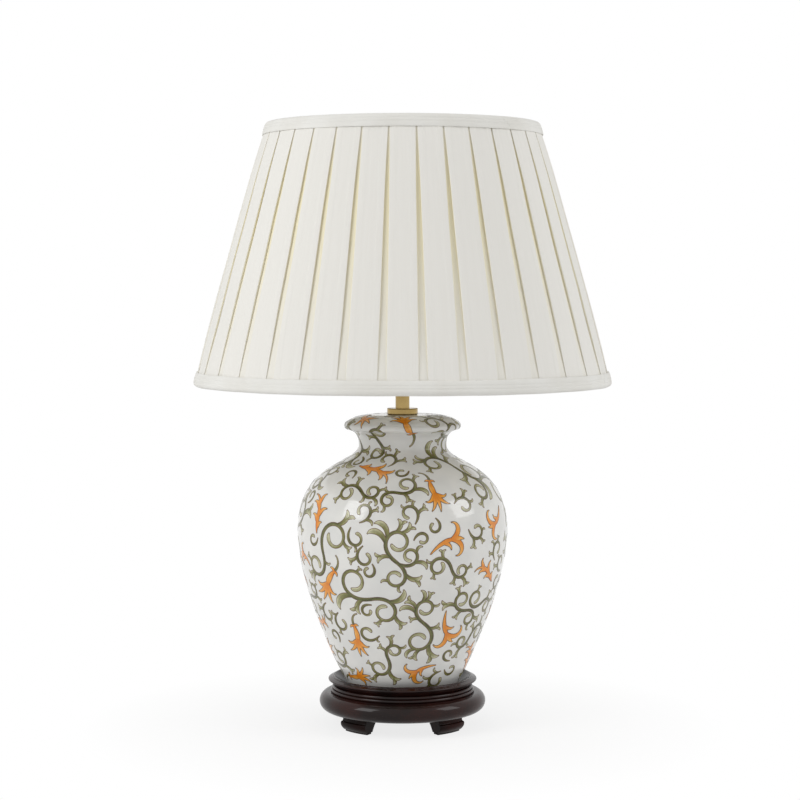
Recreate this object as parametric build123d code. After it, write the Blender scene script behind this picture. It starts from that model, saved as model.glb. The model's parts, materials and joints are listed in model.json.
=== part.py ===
from build123d import *
import math
import os

os.makedirs("parts", exist_ok=True)

# Bedside lamp: a box-pleated shade over a porcelain jar on a turned wooden stand.
# Millimetres, +Z up. The origin is on the table under the jar's axis, and -Y is the front.

# Clearances
THREAD_GAP = 0.05       # radial room in a thread, a dowel hole or a pressed-in piece
RUN_GAP = 0.3           # room between pieces that turn, slide or lift apart
CLOTH_GAP = 0.3         # room between a soft piece and its neighbours

# Felt pads and carved feet
PAD_THICKNESS = 2.0
PAD_MARGIN = 1.0        # the sole shows this much round the pad
FOOT_HEIGHT = 16.0
FOOT_SWEEP = 28.0       # degrees of the stand's circle under one foot
FOOT_SETBACK = 0.8      # from the plinth's lower edge in to the ankle
FOOT_COVE = 0.8         # depth of the hollow under the plinth
FOOT_COVE_HEIGHT = 6.5
FOOT_KNEE = 2.2         # how far the knee swells past the ankle
FOOT_TOE = 4.4          # how far the toe tucks under the knee
FOOT_SOLE_DEPTH = 11.0
FOOT_TOP_DEPTH = 28.0
FOOT_BACK_HOLLOW = 1.8  # hollow of the curve behind the foot
DOWEL_RADIUS = 3.5
DOWEL_LENGTH = 18.0

# Turned wooden plinth, measured outwards from the jar's foot
SEAT_MARGIN = 3.0       # room round the jar's foot on the seat
SEAT_DEPTH = 11.0       # from the rim down to the seat
SEAT_SPLAY = 10.0       # how far the seat's wall leans out up to the rim
RIM_WIDTH = 3.6
RIM_BEAD = 1.2          # height of the rounded bead on the rim
LIP_OVERHANG = 4.4
LIP_HEIGHT = 6.6
LIP_EDGE = 2.2          # thickness of the lip's rounded edge
LIP_SLOPE = 2.6         # how far the lip falls from the rim to its edge
WAIST_DEPTH = 7.0       # from the lip in to the waist
WAIST_HEIGHT = 3.6
BEAD_HEIGHT = 3.6
BEAD_STEP = 1.8         # each tier below the waist steps out by this
BEAD_SWELL = 0.9
TORUS_SWELL = 11.4      # from the top of the torus out to its widest
TORUS_HEIGHT = 19.5
TORUS_UNDERCUT = 3.2    # the plinth's lower edge lies this far inside the torus's top edge
NUT_POCKET_RADIUS = 17.0
NUT_POCKET_DEPTH = 13.0

# Cord inlet at the back of the plinth
INLET_RADIUS = 3.3
GROMMET_WALL = 1.3
GROMMET_LENGTH = 14.0
GROMMET_FLANGE = 2.2
GROMMET_FLANGE_THICKNESS = 2.0
INLET_SKIN = 2.6        # wood under the inlet

# Threaded rod that clamps the lamp together
ROD_RADIUS = 5.0
ROD_WALL = 1.5
ROD_TAIL = 2.0          # rod showing below the nut and above the cap's boss
NUT_FLATS = 17.0
NUT_HEIGHT = 5.0
WASHER_RADIUS = 15.0
WASHER_THICKNESS = 2.0

# Porcelain jar, heights above its own foot
JAR_SEAT_FELT = 1.5
JAR_FOOT_RADIUS = 61.0
JAR_FOOT_RING = 11.0    # width of the ring that the jar stands on
JAR_FOOT_HOLLOW = 2.5
JAR_FLANK_ANGLE = 63.2  # degrees from the seat to the flank
JAR_FLANK_PULL = 68.0   # lengths of the handles that set the jar's curves
JAR_BELLY_PULL_LOW = 44.0
JAR_BELLY_PULL_HIGH = 77.0
JAR_NECK_PULL = 22.0
JAR_BELLY_RADIUS = 115.5
JAR_BELLY_HEIGHT = 171.0
JAR_NECK_RADIUS = 48.2
JAR_NECK_HEIGHT = 265.2
JAR_LIP_RADIUS = 64.0
JAR_LIP_RISE = 21.3     # from the neck up to the lip
JAR_LIP_ROUND = 3.8
JAR_CROWN_RISE = 12.0   # from the lip up to the crown's flat
JAR_CROWN_FLAT = 24.0   # radius of the flat that the collar sits on
JAR_WALL = 6.0
JAR_FLOOR = 7.0
JAR_FLOOR_HOLE = 8.0

# Brass collar and stem
COLLAR_RADIUS = 17.0
COLLAR_HEIGHT = 7.0
COLLAR_EDGE = 1.2
SPIGOT_WALL = 2.0
SPIGOT_LENGTH = 5.0
GASKET_RADIUS = 13.5
GASKET_THICKNESS = 1.5
STEM_RADIUS = 7.75
STEM_LENGTH = 28.0

# Lampholder with a push-through switch
CAP_BOSS_RADIUS = 9.0
CAP_BOSS_HEIGHT = 8.0
CAP_HEIGHT = 22.0
CAP_LEDGE = 2.6         # ledge inside the cap that carries the terminal block
HOLDER_RADIUS = 19.65
HOLDER_WALL = 1.0
SKIRT_HEIGHT = 50.0
BLOCK_HEIGHT = 24.0
TERMINAL_SPACING = 18.0
TERMINAL_HEAD_RADIUS = 2.6
TERMINAL_HEAD_HEIGHT = 1.8
TERMINAL_SHANK_RADIUS = 1.5
TERMINAL_SHANK_LENGTH = 6.0
SHELL_WALL = 0.5
SHELL_FLANGE = 4.0
LINER_DROP = 0.5        # the liner stops this far below the skirt's mouth
CONTACT_WIDTH = 5.0
CONTACT_THICKNESS = 0.6
CONTACT_RISE = 3.0
CONTACT_REACH = 8.0
CONTACT_PAD = 2.5
SWITCH_BAR_RADIUS = 3.0
SWITCH_TRAVEL = 6.0
SWITCH_GRIP = 2.0       # bar showing between the skirt and a pushed-in button
BUTTON_RADIUS = 4.6
BUTTON_LENGTH = 7.0
BUTTON_CROWN = 1.5

# Shade rings that clamp the carrier on the skirt
CLAMP_RING_RADIUS = 25.0
CLAMP_RING_HEIGHT = 5.5
CLAMP_RING_DROP = 7.0   # from the skirt's mouth down to the upper ring

# Shade carrier
CARRIER_WIRE = 1.6
CARRIER_PLATE = 1.6
CARRIER_LUG = 7.0       # ring showing outside the clamp rings, where the arms stand
CARRIER_SPREAD = 46.0
CARRIER_HEIGHT = 194.0
CARRIER_FOOT_RISE = 10.0
CARRIER_FLARE_RISE = 34.0
CARRIER_SHOULDER = 24.0 # from the gallery down to where the arms bend in
CARRIER_BEND = 12.0
GALLERY_RADIUS = 34.0
GALLERY_WIDTH = 12.0
GALLERY_THICKNESS = 2.0
GALLERY_LIP = 1.2
GALLERY_LIP_HEIGHT = 6.0

# Bulb with a 27 mm screw cap
BULB_CAP_RADIUS = 13.1
BULB_CAP_WALL = 0.6
BULB_CAP_LENGTH = 23.0
BULB_CAP_TAPER = 2.5
BULB_TIP_RADIUS = 4.5
BULB_TIP_HEIGHT = 1.5
BULB_INSULATOR_RADIUS = 10.5
BULB_INSULATOR_HEIGHT = 3.5
BULB_RADIUS = 30.0
BULB_GLASS_LENGTH = 78.0
BULB_GLASS_WALL = 0.9
BULB_NECK_PULL = 26.0
BULB_MOUNT_RADIUS = 2.6
BULB_MOUNT_HEIGHT = 50.0
BULB_MOUNT_BASE = 4.0
BULB_HUB_RADIUS = 6.0
BULB_HUB_THICKNESS = 1.5
FILAMENT_RADIUS = 0.8
FILAMENT_LENGTH = 30.0
FILAMENT_COUNT = 4

# Empire shade: its wall is a straight cone from the bottom edge to the top edge
SHADE_BOTTOM_RADIUS = 227.2
SHADE_TOP_RADIUS = 146.7
SHADE_HEIGHT = 286.0
SHADE_RECESS = 26.0     # from the shade's top edge down to its fitter
FITTER_THICKNESS = 2.0
FITTER_WIDTH = 9.5
STRUT_WIRE = 1.6
STRUT_RISE = 6.0
STRUT_BEND = 4.0
STRUT_COUNT = 3
RING_WIRE = 1.4
LINING_THICKNESS = 0.8
PLEAT_COUNT = 34
PLEAT_CLOTH = 0.5
PLEAT_EDGE_STEP = 0.8   # depth of a pleat where the trims hold it
PLEAT_SWELL = 1.8       # how much deeper a pleat is at mid height
PLEAT_GAP_BOTTOM = 10.0
PLEAT_GAP_TOP = 1.0
PLEAT_BENDS = 6         # straight stretches that a pleat's swell is made of
PLEAT_BACK_FLATS = 4    # flat strips behind each pleat, against the lining
TRIM_OUTER_HEIGHT = 15.0
TRIM_INNER_HEIGHT = 11.0
TRIM_TAPE = 1.2
TRIM_FACE = 1.0         # thickness of the trim's folded outer face
TRIM_ROOM = 1.8         # room between a ring wire and the trim folded round it


def turned(edges, sweep_angle=360.0):
    """Solid turned about the lamp's axis from a closed outline of radii and heights."""
    return revolve(Plane.XZ * make_face(edges), Axis.Z, sweep_angle)


def disc(radius, bottom, height):
    """Cylinder on the lamp's axis."""
    return Pos(0, 0, bottom) * Cylinder(radius, height, align=(Align.CENTER, Align.CENTER, Align.MIN))


def ring(inner_radius, outer_radius, bottom, height):
    """Flat ring about the lamp's axis."""
    return disc(outer_radius, bottom, height) - disc(inner_radius, bottom, height)


def bent_wire(points, radius, bend):
    """Round wire bent along radii and heights in the plane through the lamp's axis and +X."""
    path = Plane.XZ * FilletPolyline(*points, radius=bend)
    return sweep(Plane(origin=path @ 0, z_dir=path % 0) * Circle(radius), path=path)


def around(shape, angle):
    """The shape turned about the lamp's axis."""
    return Rot(0, 0, angle) * shape


# The jar's lip and crown follow its neck
JAR_LIP_HEIGHT = JAR_NECK_HEIGHT + JAR_LIP_RISE
JAR_HEIGHT = JAR_LIP_HEIGHT + JAR_CROWN_RISE

# Heights of the joints between the pieces, from the table up
PLINTH_Z = PAD_THICKNESS + FOOT_HEIGHT
PLINTH_HEIGHT = TORUS_HEIGHT + 2 * BEAD_HEIGHT + WAIST_HEIGHT + LIP_HEIGHT
RIM_Z = PLINTH_Z + PLINTH_HEIGHT
SEAT_Z = RIM_Z - SEAT_DEPTH
JAR_Z = SEAT_Z + JAR_SEAT_FELT
COLLAR_Z = JAR_Z + JAR_HEIGHT
STEM_Z = COLLAR_Z + COLLAR_HEIGHT
CAP_Z = STEM_Z + STEM_LENGTH
SKIRT_Z = CAP_Z + CAP_HEIGHT
BLOCK_TOP_Z = SKIRT_Z + BLOCK_HEIGHT
SKIRT_TOP_Z = SKIRT_Z + SKIRT_HEIGHT
SWITCH_Z = SKIRT_Z + BLOCK_HEIGHT / 2
UPPER_RING_Z = SKIRT_TOP_Z - CLAMP_RING_DROP - CLAMP_RING_HEIGHT
CARRIER_Z = UPPER_RING_Z - RUN_GAP - CARRIER_PLATE
LOWER_RING_Z = CARRIER_Z - RUN_GAP - CLAMP_RING_HEIGHT
GALLERY_Z = CARRIER_Z + CARRIER_PLATE + CARRIER_HEIGHT
FITTER_Z = GALLERY_Z + GALLERY_THICKNESS + RUN_GAP
SHADE_TOP_Z = FITTER_Z + FITTER_THICKNESS + SHADE_RECESS
SHADE_Z = SHADE_TOP_Z - SHADE_HEIGHT

# Radii that follow from the jar's foot outwards
SEAT_RADIUS = JAR_FOOT_RADIUS + SEAT_MARGIN
RIM_INNER_RADIUS = SEAT_RADIUS + SEAT_SPLAY
RIM_RADIUS = RIM_INNER_RADIUS + RIM_WIDTH
LIP_RADIUS = RIM_RADIUS + LIP_OVERHANG
WAIST_RADIUS = LIP_RADIUS - WAIST_DEPTH
TORUS_TOP_RADIUS = WAIST_RADIUS + 3 * BEAD_STEP
TORUS_RADIUS = TORUS_TOP_RADIUS + TORUS_SWELL
PLINTH_BASE_RADIUS = TORUS_TOP_RADIUS - TORUS_UNDERCUT

# Radii of the rod's neighbours
SPIGOT_RADIUS = ROD_RADIUS + THREAD_GAP + SPIGOT_WALL
HOLDER_INNER_RADIUS = HOLDER_RADIUS - HOLDER_WALL
SHELL_INNER_RADIUS = BULB_CAP_RADIUS + RUN_GAP
SHELL_RADIUS = SHELL_INNER_RADIUS + SHELL_WALL
GROMMET_RADIUS = INLET_RADIUS + GROMMET_WALL
INLET_Z = PLINTH_Z + INLET_SKIN + GROMMET_RADIUS

# The shade wall's slope
SHADE_LEAN = math.atan2(SHADE_BOTTOM_RADIUS - SHADE_TOP_RADIUS, SHADE_HEIGHT)
SHADE_SLANT = math.hypot(SHADE_BOTTOM_RADIUS - SHADE_TOP_RADIUS, SHADE_HEIGHT)

# Depths across the shade's edge, outwards from the lining's outer face
PLEAT_FLOOR = CLOTH_GAP + PLEAT_CLOTH
PLEAT_EDGE = PLEAT_FLOOR + PLEAT_EDGE_STEP
TRIM_FACE_INNER = PLEAT_EDGE + CLOTH_GAP
TRIM_FACE_OUTER = TRIM_FACE_INNER + TRIM_FACE
RING_CENTRE = -(LINING_THICKNESS + CLOTH_GAP + RING_WIRE)
TRIM_BACK_INNER = RING_CENTRE - RING_WIRE - TRIM_ROOM
TRIM_BACK_OUTER = TRIM_BACK_INNER - TRIM_TAPE
TRIM_ROUND = (TRIM_FACE_OUTER - TRIM_BACK_OUTER) / 2
TRIM_HOLLOW = (TRIM_FACE_INNER - TRIM_BACK_INNER) / 2

FOOT_PLACES = {"rear_right": 45, "rear_left": 135, "front_left": 225, "front_right": 315}


# The wooden stand

def foot_radii():
    """Radii of a foot's ankle, knee, toe, heel and back."""
    ankle = PLINTH_BASE_RADIUS - FOOT_SETBACK
    knee = ankle + FOOT_KNEE
    toe = knee - FOOT_TOE
    heel = toe - FOOT_SOLE_DEPTH
    back = ankle - FOOT_TOP_DEPTH
    return ankle, knee, toe, heel, back


def dowel_radius_from_axis():
    """Distance of a foot's dowel from the lamp's axis, over the middle of its sole."""
    ankle, knee, toe, heel, back = foot_radii()
    return (toe + heel) / 2


def dowel(place, clearance=0.0):
    """One dowel, half in its foot and half in the plinth."""
    radius = DOWEL_RADIUS + clearance
    length = DOWEL_LENGTH + 2 * clearance
    return around(Pos(dowel_radius_from_axis(), 0, PLINTH_Z) * Cylinder(radius, length), place)


def foot(place):
    """Carved foot: a hollow under the plinth, a swelling knee, a tucked toe and a curved back."""
    ankle, knee, toe, heel, back = foot_radii()
    cove_z = PLINTH_Z - FOOT_COVE_HEIGHT
    knee_z = cove_z - FOOT_KNEE
    cove = (ankle - FOOT_COVE, (PLINTH_Z + cove_z) / 2)
    rear = ((heel + back) / 2 + FOOT_BACK_HOLLOW, (PAD_THICKNESS + PLINTH_Z) / 2)
    outline = [
        Line((back, PLINTH_Z), (ankle, PLINTH_Z)),
        ThreePointArc((ankle, PLINTH_Z), cove, (ankle, cove_z)),
        Bezier((ankle, cove_z), (knee, cove_z), (knee, knee_z)),
        Bezier((knee, knee_z), (knee, (knee_z + PAD_THICKNESS) / 2), (toe, PAD_THICKNESS)),
        Line((toe, PAD_THICKNESS), (heel, PAD_THICKNESS)),
        ThreePointArc((heel, PAD_THICKNESS), rear, (back, PLINTH_Z)),
    ]
    blank = around(turned(outline, FOOT_SWEEP), place - FOOT_SWEEP / 2)
    return blank - dowel(place, THREAD_GAP)


def felt_pad(place):
    """Felt pad cut to the foot's sole."""
    ankle, knee, toe, heel, back = foot_radii()
    inner = heel + PAD_MARGIN
    outer = toe - PAD_MARGIN
    pad_sweep = FOOT_SWEEP - 2 * math.degrees(PAD_MARGIN / inner)
    outline = Polyline((inner, 0), (outer, 0), (outer, PAD_THICKNESS), (inner, PAD_THICKNESS), close=True)
    return around(turned(outline, pad_sweep), place - pad_sweep / 2)


def plinth_outline():
    """Half section of the plinth's outside, from the lower edge up to the rim and down to the seat."""
    torus_top_z = PLINTH_Z + TORUS_HEIGHT
    bead_z = torus_top_z + BEAD_HEIGHT
    waist_z = bead_z + BEAD_HEIGHT
    lip_z = waist_z + WAIST_HEIGHT
    low_bead = WAIST_RADIUS + 2 * BEAD_STEP
    high_bead = WAIST_RADIUS + BEAD_STEP
    lip_root = (WAIST_RADIUS + LIP_RADIUS) / 2
    edge = LIP_RADIUS - LIP_EDGE / 2
    edge_top_z = RIM_Z - LIP_SLOPE
    edge_low_z = edge_top_z - LIP_EDGE
    bead_foot_z = RIM_Z - RIM_BEAD
    return [
        Line((0, PLINTH_Z), (PLINTH_BASE_RADIUS, PLINTH_Z)),
        ThreePointArc((PLINTH_BASE_RADIUS, PLINTH_Z), (TORUS_RADIUS, PLINTH_Z + TORUS_HEIGHT / 2),
                      (TORUS_TOP_RADIUS, torus_top_z)),
        Line((TORUS_TOP_RADIUS, torus_top_z), (low_bead, torus_top_z)),
        ThreePointArc((low_bead, torus_top_z), (low_bead + BEAD_SWELL, torus_top_z + BEAD_HEIGHT / 2),
                      (low_bead, bead_z)),
        Line((low_bead, bead_z), (high_bead, bead_z)),
        ThreePointArc((high_bead, bead_z), (high_bead + BEAD_SWELL, bead_z + BEAD_HEIGHT / 2),
                      (high_bead, waist_z)),
        Line((high_bead, waist_z), (WAIST_RADIUS, waist_z)),
        Line((WAIST_RADIUS, waist_z), (lip_root, lip_z)),
        Line((lip_root, lip_z), (edge, edge_low_z)),
        ThreePointArc((edge, edge_low_z), (LIP_RADIUS, (edge_low_z + edge_top_z) / 2), (edge, edge_top_z)),
        Line((edge, edge_top_z), (RIM_RADIUS, bead_foot_z)),
        ThreePointArc((RIM_RADIUS, bead_foot_z), ((RIM_RADIUS + RIM_INNER_RADIUS) / 2, RIM_Z),
                      (RIM_INNER_RADIUS, bead_foot_z)),
        Line((RIM_INNER_RADIUS, bead_foot_z), (SEAT_RADIUS, SEAT_Z)),
        Line((SEAT_RADIUS, SEAT_Z), (0, SEAT_Z)),
        Line((0, SEAT_Z), (0, PLINTH_Z)),
    ]


def along_back(radius, start, length):
    """Cylinder through the cord inlet, along +Y from the given distance behind the axis."""
    bar = Cylinder(radius, length, align=(Align.CENTER, Align.CENTER, Align.MIN))
    return Pos(0, start, INLET_Z) * Rot(-90, 0, 0) * bar


def grommet_seat():
    """Distance behind the axis of the flat that the grommet's flange lies on."""
    return TORUS_RADIUS - GROMMET_FLANGE_THICKNESS - GROMMET_FLANGE / 2


def stand_plinth():
    """Turned plinth with the jar's seat, the nut's pocket, the rod's hole and the cord inlet."""
    body = turned(plinth_outline())
    body -= disc(NUT_POCKET_RADIUS, PLINTH_Z, NUT_POCKET_DEPTH)
    body -= disc(ROD_RADIUS + RUN_GAP, PLINTH_Z, PLINTH_HEIGHT)
    body -= along_back(GROMMET_RADIUS + THREAD_GAP, 0, TORUS_RADIUS)
    body -= along_back(GROMMET_RADIUS + GROMMET_FLANGE + RUN_GAP, grommet_seat(), TORUS_RADIUS)
    for place in FOOT_PLACES.values():
        body -= dowel(place, THREAD_GAP)
    return body


def foot_dowels():
    """The dowels that hold the feet, one to each foot."""
    return Part() + [dowel(place) for place in FOOT_PLACES.values()]


def cord_grommet():
    """Flanged grommet that lines the cord inlet."""
    flange_y = grommet_seat()
    bush = along_back(GROMMET_RADIUS, flange_y - GROMMET_LENGTH, GROMMET_LENGTH)
    bush += along_back(GROMMET_RADIUS + GROMMET_FLANGE, flange_y, GROMMET_FLANGE_THICKNESS)
    reach = GROMMET_LENGTH + GROMMET_FLANGE_THICKNESS
    return bush - along_back(INLET_RADIUS, flange_y - GROMMET_LENGTH, reach)


# The rod and its nut

def rod_bottom_z():
    """Height of the rod's lower end, inside the nut's pocket."""
    return PLINTH_Z + NUT_POCKET_DEPTH - WASHER_THICKNESS - NUT_HEIGHT - ROD_TAIL


def centre_rod():
    """Hollow threaded rod from the nut's pocket up into the lampholder's cap."""
    bottom = rod_bottom_z()
    top = CAP_Z + CAP_BOSS_HEIGHT + ROD_TAIL
    return ring(ROD_RADIUS - ROD_WALL, ROD_RADIUS, bottom, top - bottom)


def rod_washer():
    """Wide steel washer at the top of the nut's pocket."""
    top = PLINTH_Z + NUT_POCKET_DEPTH
    return ring(ROD_RADIUS + RUN_GAP, WASHER_RADIUS, top - WASHER_THICKNESS, WASHER_THICKNESS)


def rod_nut():
    """Hexagon nut under the washer."""
    bottom = PLINTH_Z + NUT_POCKET_DEPTH - WASHER_THICKNESS - NUT_HEIGHT
    hexagon = RegularPolygon(NUT_FLATS / 2, 6, major_radius=False)
    return Pos(0, 0, bottom) * extrude(hexagon, NUT_HEIGHT) - disc(ROD_RADIUS + THREAD_GAP, bottom, NUT_HEIGHT)


# The jar

def jar_flank(inset, base_z):
    """Curves from the foot over the belly to the neck, moved in by the wall's thickness."""
    angle = math.radians(JAR_FLANK_ANGLE)
    foot_point = (JAR_FOOT_RADIUS - inset, base_z)
    flank = (foot_point[0] + JAR_FLANK_PULL * math.cos(angle), base_z + JAR_FLANK_PULL * math.sin(angle))
    belly_radius = JAR_BELLY_RADIUS - inset
    belly_z = JAR_Z + JAR_BELLY_HEIGHT
    neck_radius = JAR_NECK_RADIUS - inset
    neck_z = JAR_Z + JAR_NECK_HEIGHT
    low = Bezier(foot_point, flank, (belly_radius, belly_z - JAR_BELLY_PULL_LOW), (belly_radius, belly_z))
    high = Bezier((belly_radius, belly_z), (belly_radius, belly_z + JAR_BELLY_PULL_HIGH),
                  (neck_radius, neck_z - JAR_NECK_PULL), (neck_radius, neck_z))
    return low, high


def jar_head():
    """Curves from the neck out round the lip and over the crown to the collar's flat."""
    neck_z = JAR_Z + JAR_NECK_HEIGHT
    lip_z = JAR_Z + JAR_LIP_HEIGHT
    top_z = JAR_Z + JAR_HEIGHT
    lip_inner = JAR_LIP_RADIUS - JAR_LIP_ROUND / 2
    under = (lip_inner, lip_z - JAR_LIP_ROUND)
    over = (lip_inner, lip_z + JAR_LIP_ROUND)
    crown_rise = top_z - over[1]
    throat = (JAR_NECK_RADIUS, neck_z + (under[1] - neck_z) * 2 / 3)
    brow = (JAR_NECK_RADIUS + (lip_inner - JAR_NECK_RADIUS) / 3, under[1] - JAR_LIP_ROUND / 2)
    shoulder = (lip_inner - crown_rise, over[1] + crown_rise * 3 / 4)
    crest = ((lip_inner + JAR_CROWN_FLAT) / 2, top_z)
    return [
        Bezier((JAR_NECK_RADIUS, neck_z), throat, brow, under),
        ThreePointArc(under, (JAR_LIP_RADIUS, lip_z), over),
        Bezier(over, shoulder, crest, (JAR_CROWN_FLAT, top_z)),
    ]


def porcelain_jar():
    """Thrown jar, hollow, with a closed crown, a foot ring and holes for the rod."""
    low, high = jar_flank(0.0, JAR_Z)
    top_z = JAR_Z + JAR_HEIGHT
    outside = [low, high, *jar_head()]
    outside.append(Line((JAR_CROWN_FLAT, top_z), (0, top_z)))
    outside.append(Line((0, top_z), (0, JAR_Z)))
    outside.append(Line((0, JAR_Z), (JAR_FOOT_RADIUS, JAR_Z)))
    floor_z = JAR_Z + JAR_FLOOR
    ceiling_z = top_z - JAR_WALL
    inner_low, inner_high = jar_flank(JAR_WALL, floor_z)
    throat = JAR_NECK_RADIUS - JAR_WALL
    inside = [inner_low, inner_high]
    inside.append(Line((throat, JAR_Z + JAR_NECK_HEIGHT), (throat, ceiling_z)))
    inside.append(Line((throat, ceiling_z), (0, ceiling_z)))
    inside.append(Line((0, ceiling_z), (0, floor_z)))
    inside.append(Line((0, floor_z), (JAR_FOOT_RADIUS - JAR_WALL, floor_z)))
    body = turned(outside) - turned(inside)
    body -= disc(JAR_FOOT_RADIUS - JAR_FOOT_RING, JAR_Z, JAR_FOOT_HOLLOW)
    body -= disc(JAR_FLOOR_HOLE, JAR_Z, JAR_FLOOR)
    return body - disc(SPIGOT_RADIUS + RUN_GAP, ceiling_z, JAR_WALL)


def jar_seat_felt():
    """Felt ring between the plinth's seat and the jar's foot ring."""
    return ring(JAR_FOOT_RADIUS - JAR_FOOT_RING, JAR_FOOT_RADIUS, SEAT_Z, JAR_SEAT_FELT)


# Brass fittings on the jar

def brass_collar():
    """Collar with softened edges, a spigot down into the jar and a pocket for the gasket."""
    edge_z = COLLAR_Z + COLLAR_EDGE
    top_z = COLLAR_Z + COLLAR_HEIGHT
    inner = COLLAR_RADIUS - COLLAR_EDGE
    soft = COLLAR_EDGE * (1 - math.sqrt(0.5))
    outline = [
        Line((0, COLLAR_Z), (inner, COLLAR_Z)),
        ThreePointArc((inner, COLLAR_Z), (COLLAR_RADIUS - soft, COLLAR_Z + soft), (COLLAR_RADIUS, edge_z)),
        Line((COLLAR_RADIUS, edge_z), (COLLAR_RADIUS, top_z - COLLAR_EDGE)),
        ThreePointArc((COLLAR_RADIUS, top_z - COLLAR_EDGE), (COLLAR_RADIUS - soft, top_z - soft), (inner, top_z)),
        Line((inner, top_z), (0, top_z)),
        Line((0, top_z), (0, COLLAR_Z)),
    ]
    body = turned(outline) - ring(SPIGOT_RADIUS, GASKET_RADIUS, COLLAR_Z, GASKET_THICKNESS)
    body += disc(SPIGOT_RADIUS, COLLAR_Z - SPIGOT_LENGTH, SPIGOT_LENGTH + COLLAR_EDGE)
    bore = SPIGOT_LENGTH + COLLAR_HEIGHT
    return body - disc(ROD_RADIUS + THREAD_GAP, COLLAR_Z - SPIGOT_LENGTH, bore)


def jar_top_gasket():
    """Rubber gasket between the jar's crown and the collar."""
    return ring(SPIGOT_RADIUS + THREAD_GAP, GASKET_RADIUS - THREAD_GAP, COLLAR_Z, GASKET_THICKNESS)


def brass_stem():
    """Brass tube over the rod, between the collar and the lampholder."""
    return ring(ROD_RADIUS + RUN_GAP, STEM_RADIUS, STEM_Z, STEM_LENGTH)


# The lampholder

def lampholder_cap():
    """Domed cap screwed on the rod, with a ledge inside its mouth."""
    boss_z = CAP_Z + CAP_BOSS_HEIGHT
    top_z = CAP_Z + CAP_HEIGHT
    shoulder = (HOLDER_RADIUS, boss_z + (top_z - boss_z) / 3)
    inner_shoulder = (HOLDER_INNER_RADIUS, shoulder[1])
    floor_z = boss_z + HOLDER_WALL
    ledge = HOLDER_INNER_RADIUS - CAP_LEDGE
    ledge_z = top_z - HOLDER_WALL
    outside = [
        Line((0, CAP_Z), (CAP_BOSS_RADIUS, CAP_Z)),
        Line((CAP_BOSS_RADIUS, CAP_Z), (CAP_BOSS_RADIUS, boss_z)),
        Bezier((CAP_BOSS_RADIUS, boss_z), (HOLDER_RADIUS, boss_z), shoulder, (HOLDER_RADIUS, top_z)),
        Line((HOLDER_RADIUS, top_z), (0, top_z)),
        Line((0, top_z), (0, CAP_Z)),
    ]
    inside = [
        Line((0, floor_z), (CAP_BOSS_RADIUS, floor_z)),
        Bezier((CAP_BOSS_RADIUS, floor_z), (HOLDER_INNER_RADIUS, floor_z), inner_shoulder,
               (HOLDER_INNER_RADIUS, ledge_z)),
        Line((HOLDER_INNER_RADIUS, ledge_z), (0, ledge_z)),
        Line((0, ledge_z), (0, floor_z)),
    ]
    body = turned(outside) - turned(inside) - disc(ledge, ledge_z, HOLDER_WALL)
    return body - disc(ROD_RADIUS + THREAD_GAP, CAP_Z, CAP_HEIGHT)


def across(radius, start, length):
    """Cylinder along +X through the switch's axis."""
    bar = Cylinder(radius, length, align=(Align.CENTER, Align.CENTER, Align.MIN))
    return Pos(start, 0, SWITCH_Z) * Rot(0, 90, 0) * bar


def lampholder_skirt():
    """Brass skirt on the cap, with the holes that the switch bar slides through."""
    skirt = ring(HOLDER_INNER_RADIUS, HOLDER_RADIUS, SKIRT_Z, SKIRT_HEIGHT)
    return skirt - across(SWITCH_BAR_RADIUS + RUN_GAP, -2 * HOLDER_RADIUS, 4 * HOLDER_RADIUS)


def terminal_screw(side, clearance=0.0):
    """One terminal screw, its head below the block."""
    place = Pos(0, side * TERMINAL_SPACING / 2, SKIRT_Z)
    below = (Align.CENTER, Align.CENTER, Align.MAX)
    above = (Align.CENTER, Align.CENTER, Align.MIN)
    head = Cylinder(TERMINAL_HEAD_RADIUS, TERMINAL_HEAD_HEIGHT, align=below)
    shank = Cylinder(TERMINAL_SHANK_RADIUS + clearance, TERMINAL_SHANK_LENGTH + clearance, align=above)
    return place * (head + shank)


def terminal_screws():
    """The two terminal screws, each with a slot across its head."""
    screws = Part()
    for side in (-1, 1):
        slot = Box(2 * TERMINAL_HEAD_RADIUS, TERMINAL_SHANK_RADIUS / 2, TERMINAL_HEAD_HEIGHT)
        slot_z = SKIRT_Z - TERMINAL_HEAD_HEIGHT
        screws += terminal_screw(side) - Pos(0, side * TERMINAL_SPACING / 2, slot_z) * slot
    return screws


def terminal_block():
    """Moulded block that holds the terminals and guides the switch bar."""
    block = disc(HOLDER_INNER_RADIUS - THREAD_GAP, SKIRT_Z, BLOCK_HEIGHT)
    block -= across(SWITCH_BAR_RADIUS + RUN_GAP, -2 * HOLDER_RADIUS, 4 * HOLDER_RADIUS)
    for side in (-1, 1):
        block -= terminal_screw(side, THREAD_GAP)
    return block


def socket_liner():
    """Insulating sleeve between the skirt and the screw shell."""
    height = SKIRT_TOP_Z - LINER_DROP - BLOCK_TOP_Z
    return ring(SHELL_RADIUS + THREAD_GAP, HOLDER_INNER_RADIUS - THREAD_GAP, BLOCK_TOP_Z, height)


def socket_shell():
    """Screw shell with a flange on the block."""
    height = SKIRT_TOP_Z - LINER_DROP - BLOCK_TOP_Z
    wall = ring(SHELL_INNER_RADIUS, SHELL_RADIUS, BLOCK_TOP_Z, height)
    return wall + ring(SHELL_RADIUS - SHELL_FLANGE, SHELL_RADIUS, BLOCK_TOP_Z, SHELL_WALL)


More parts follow.
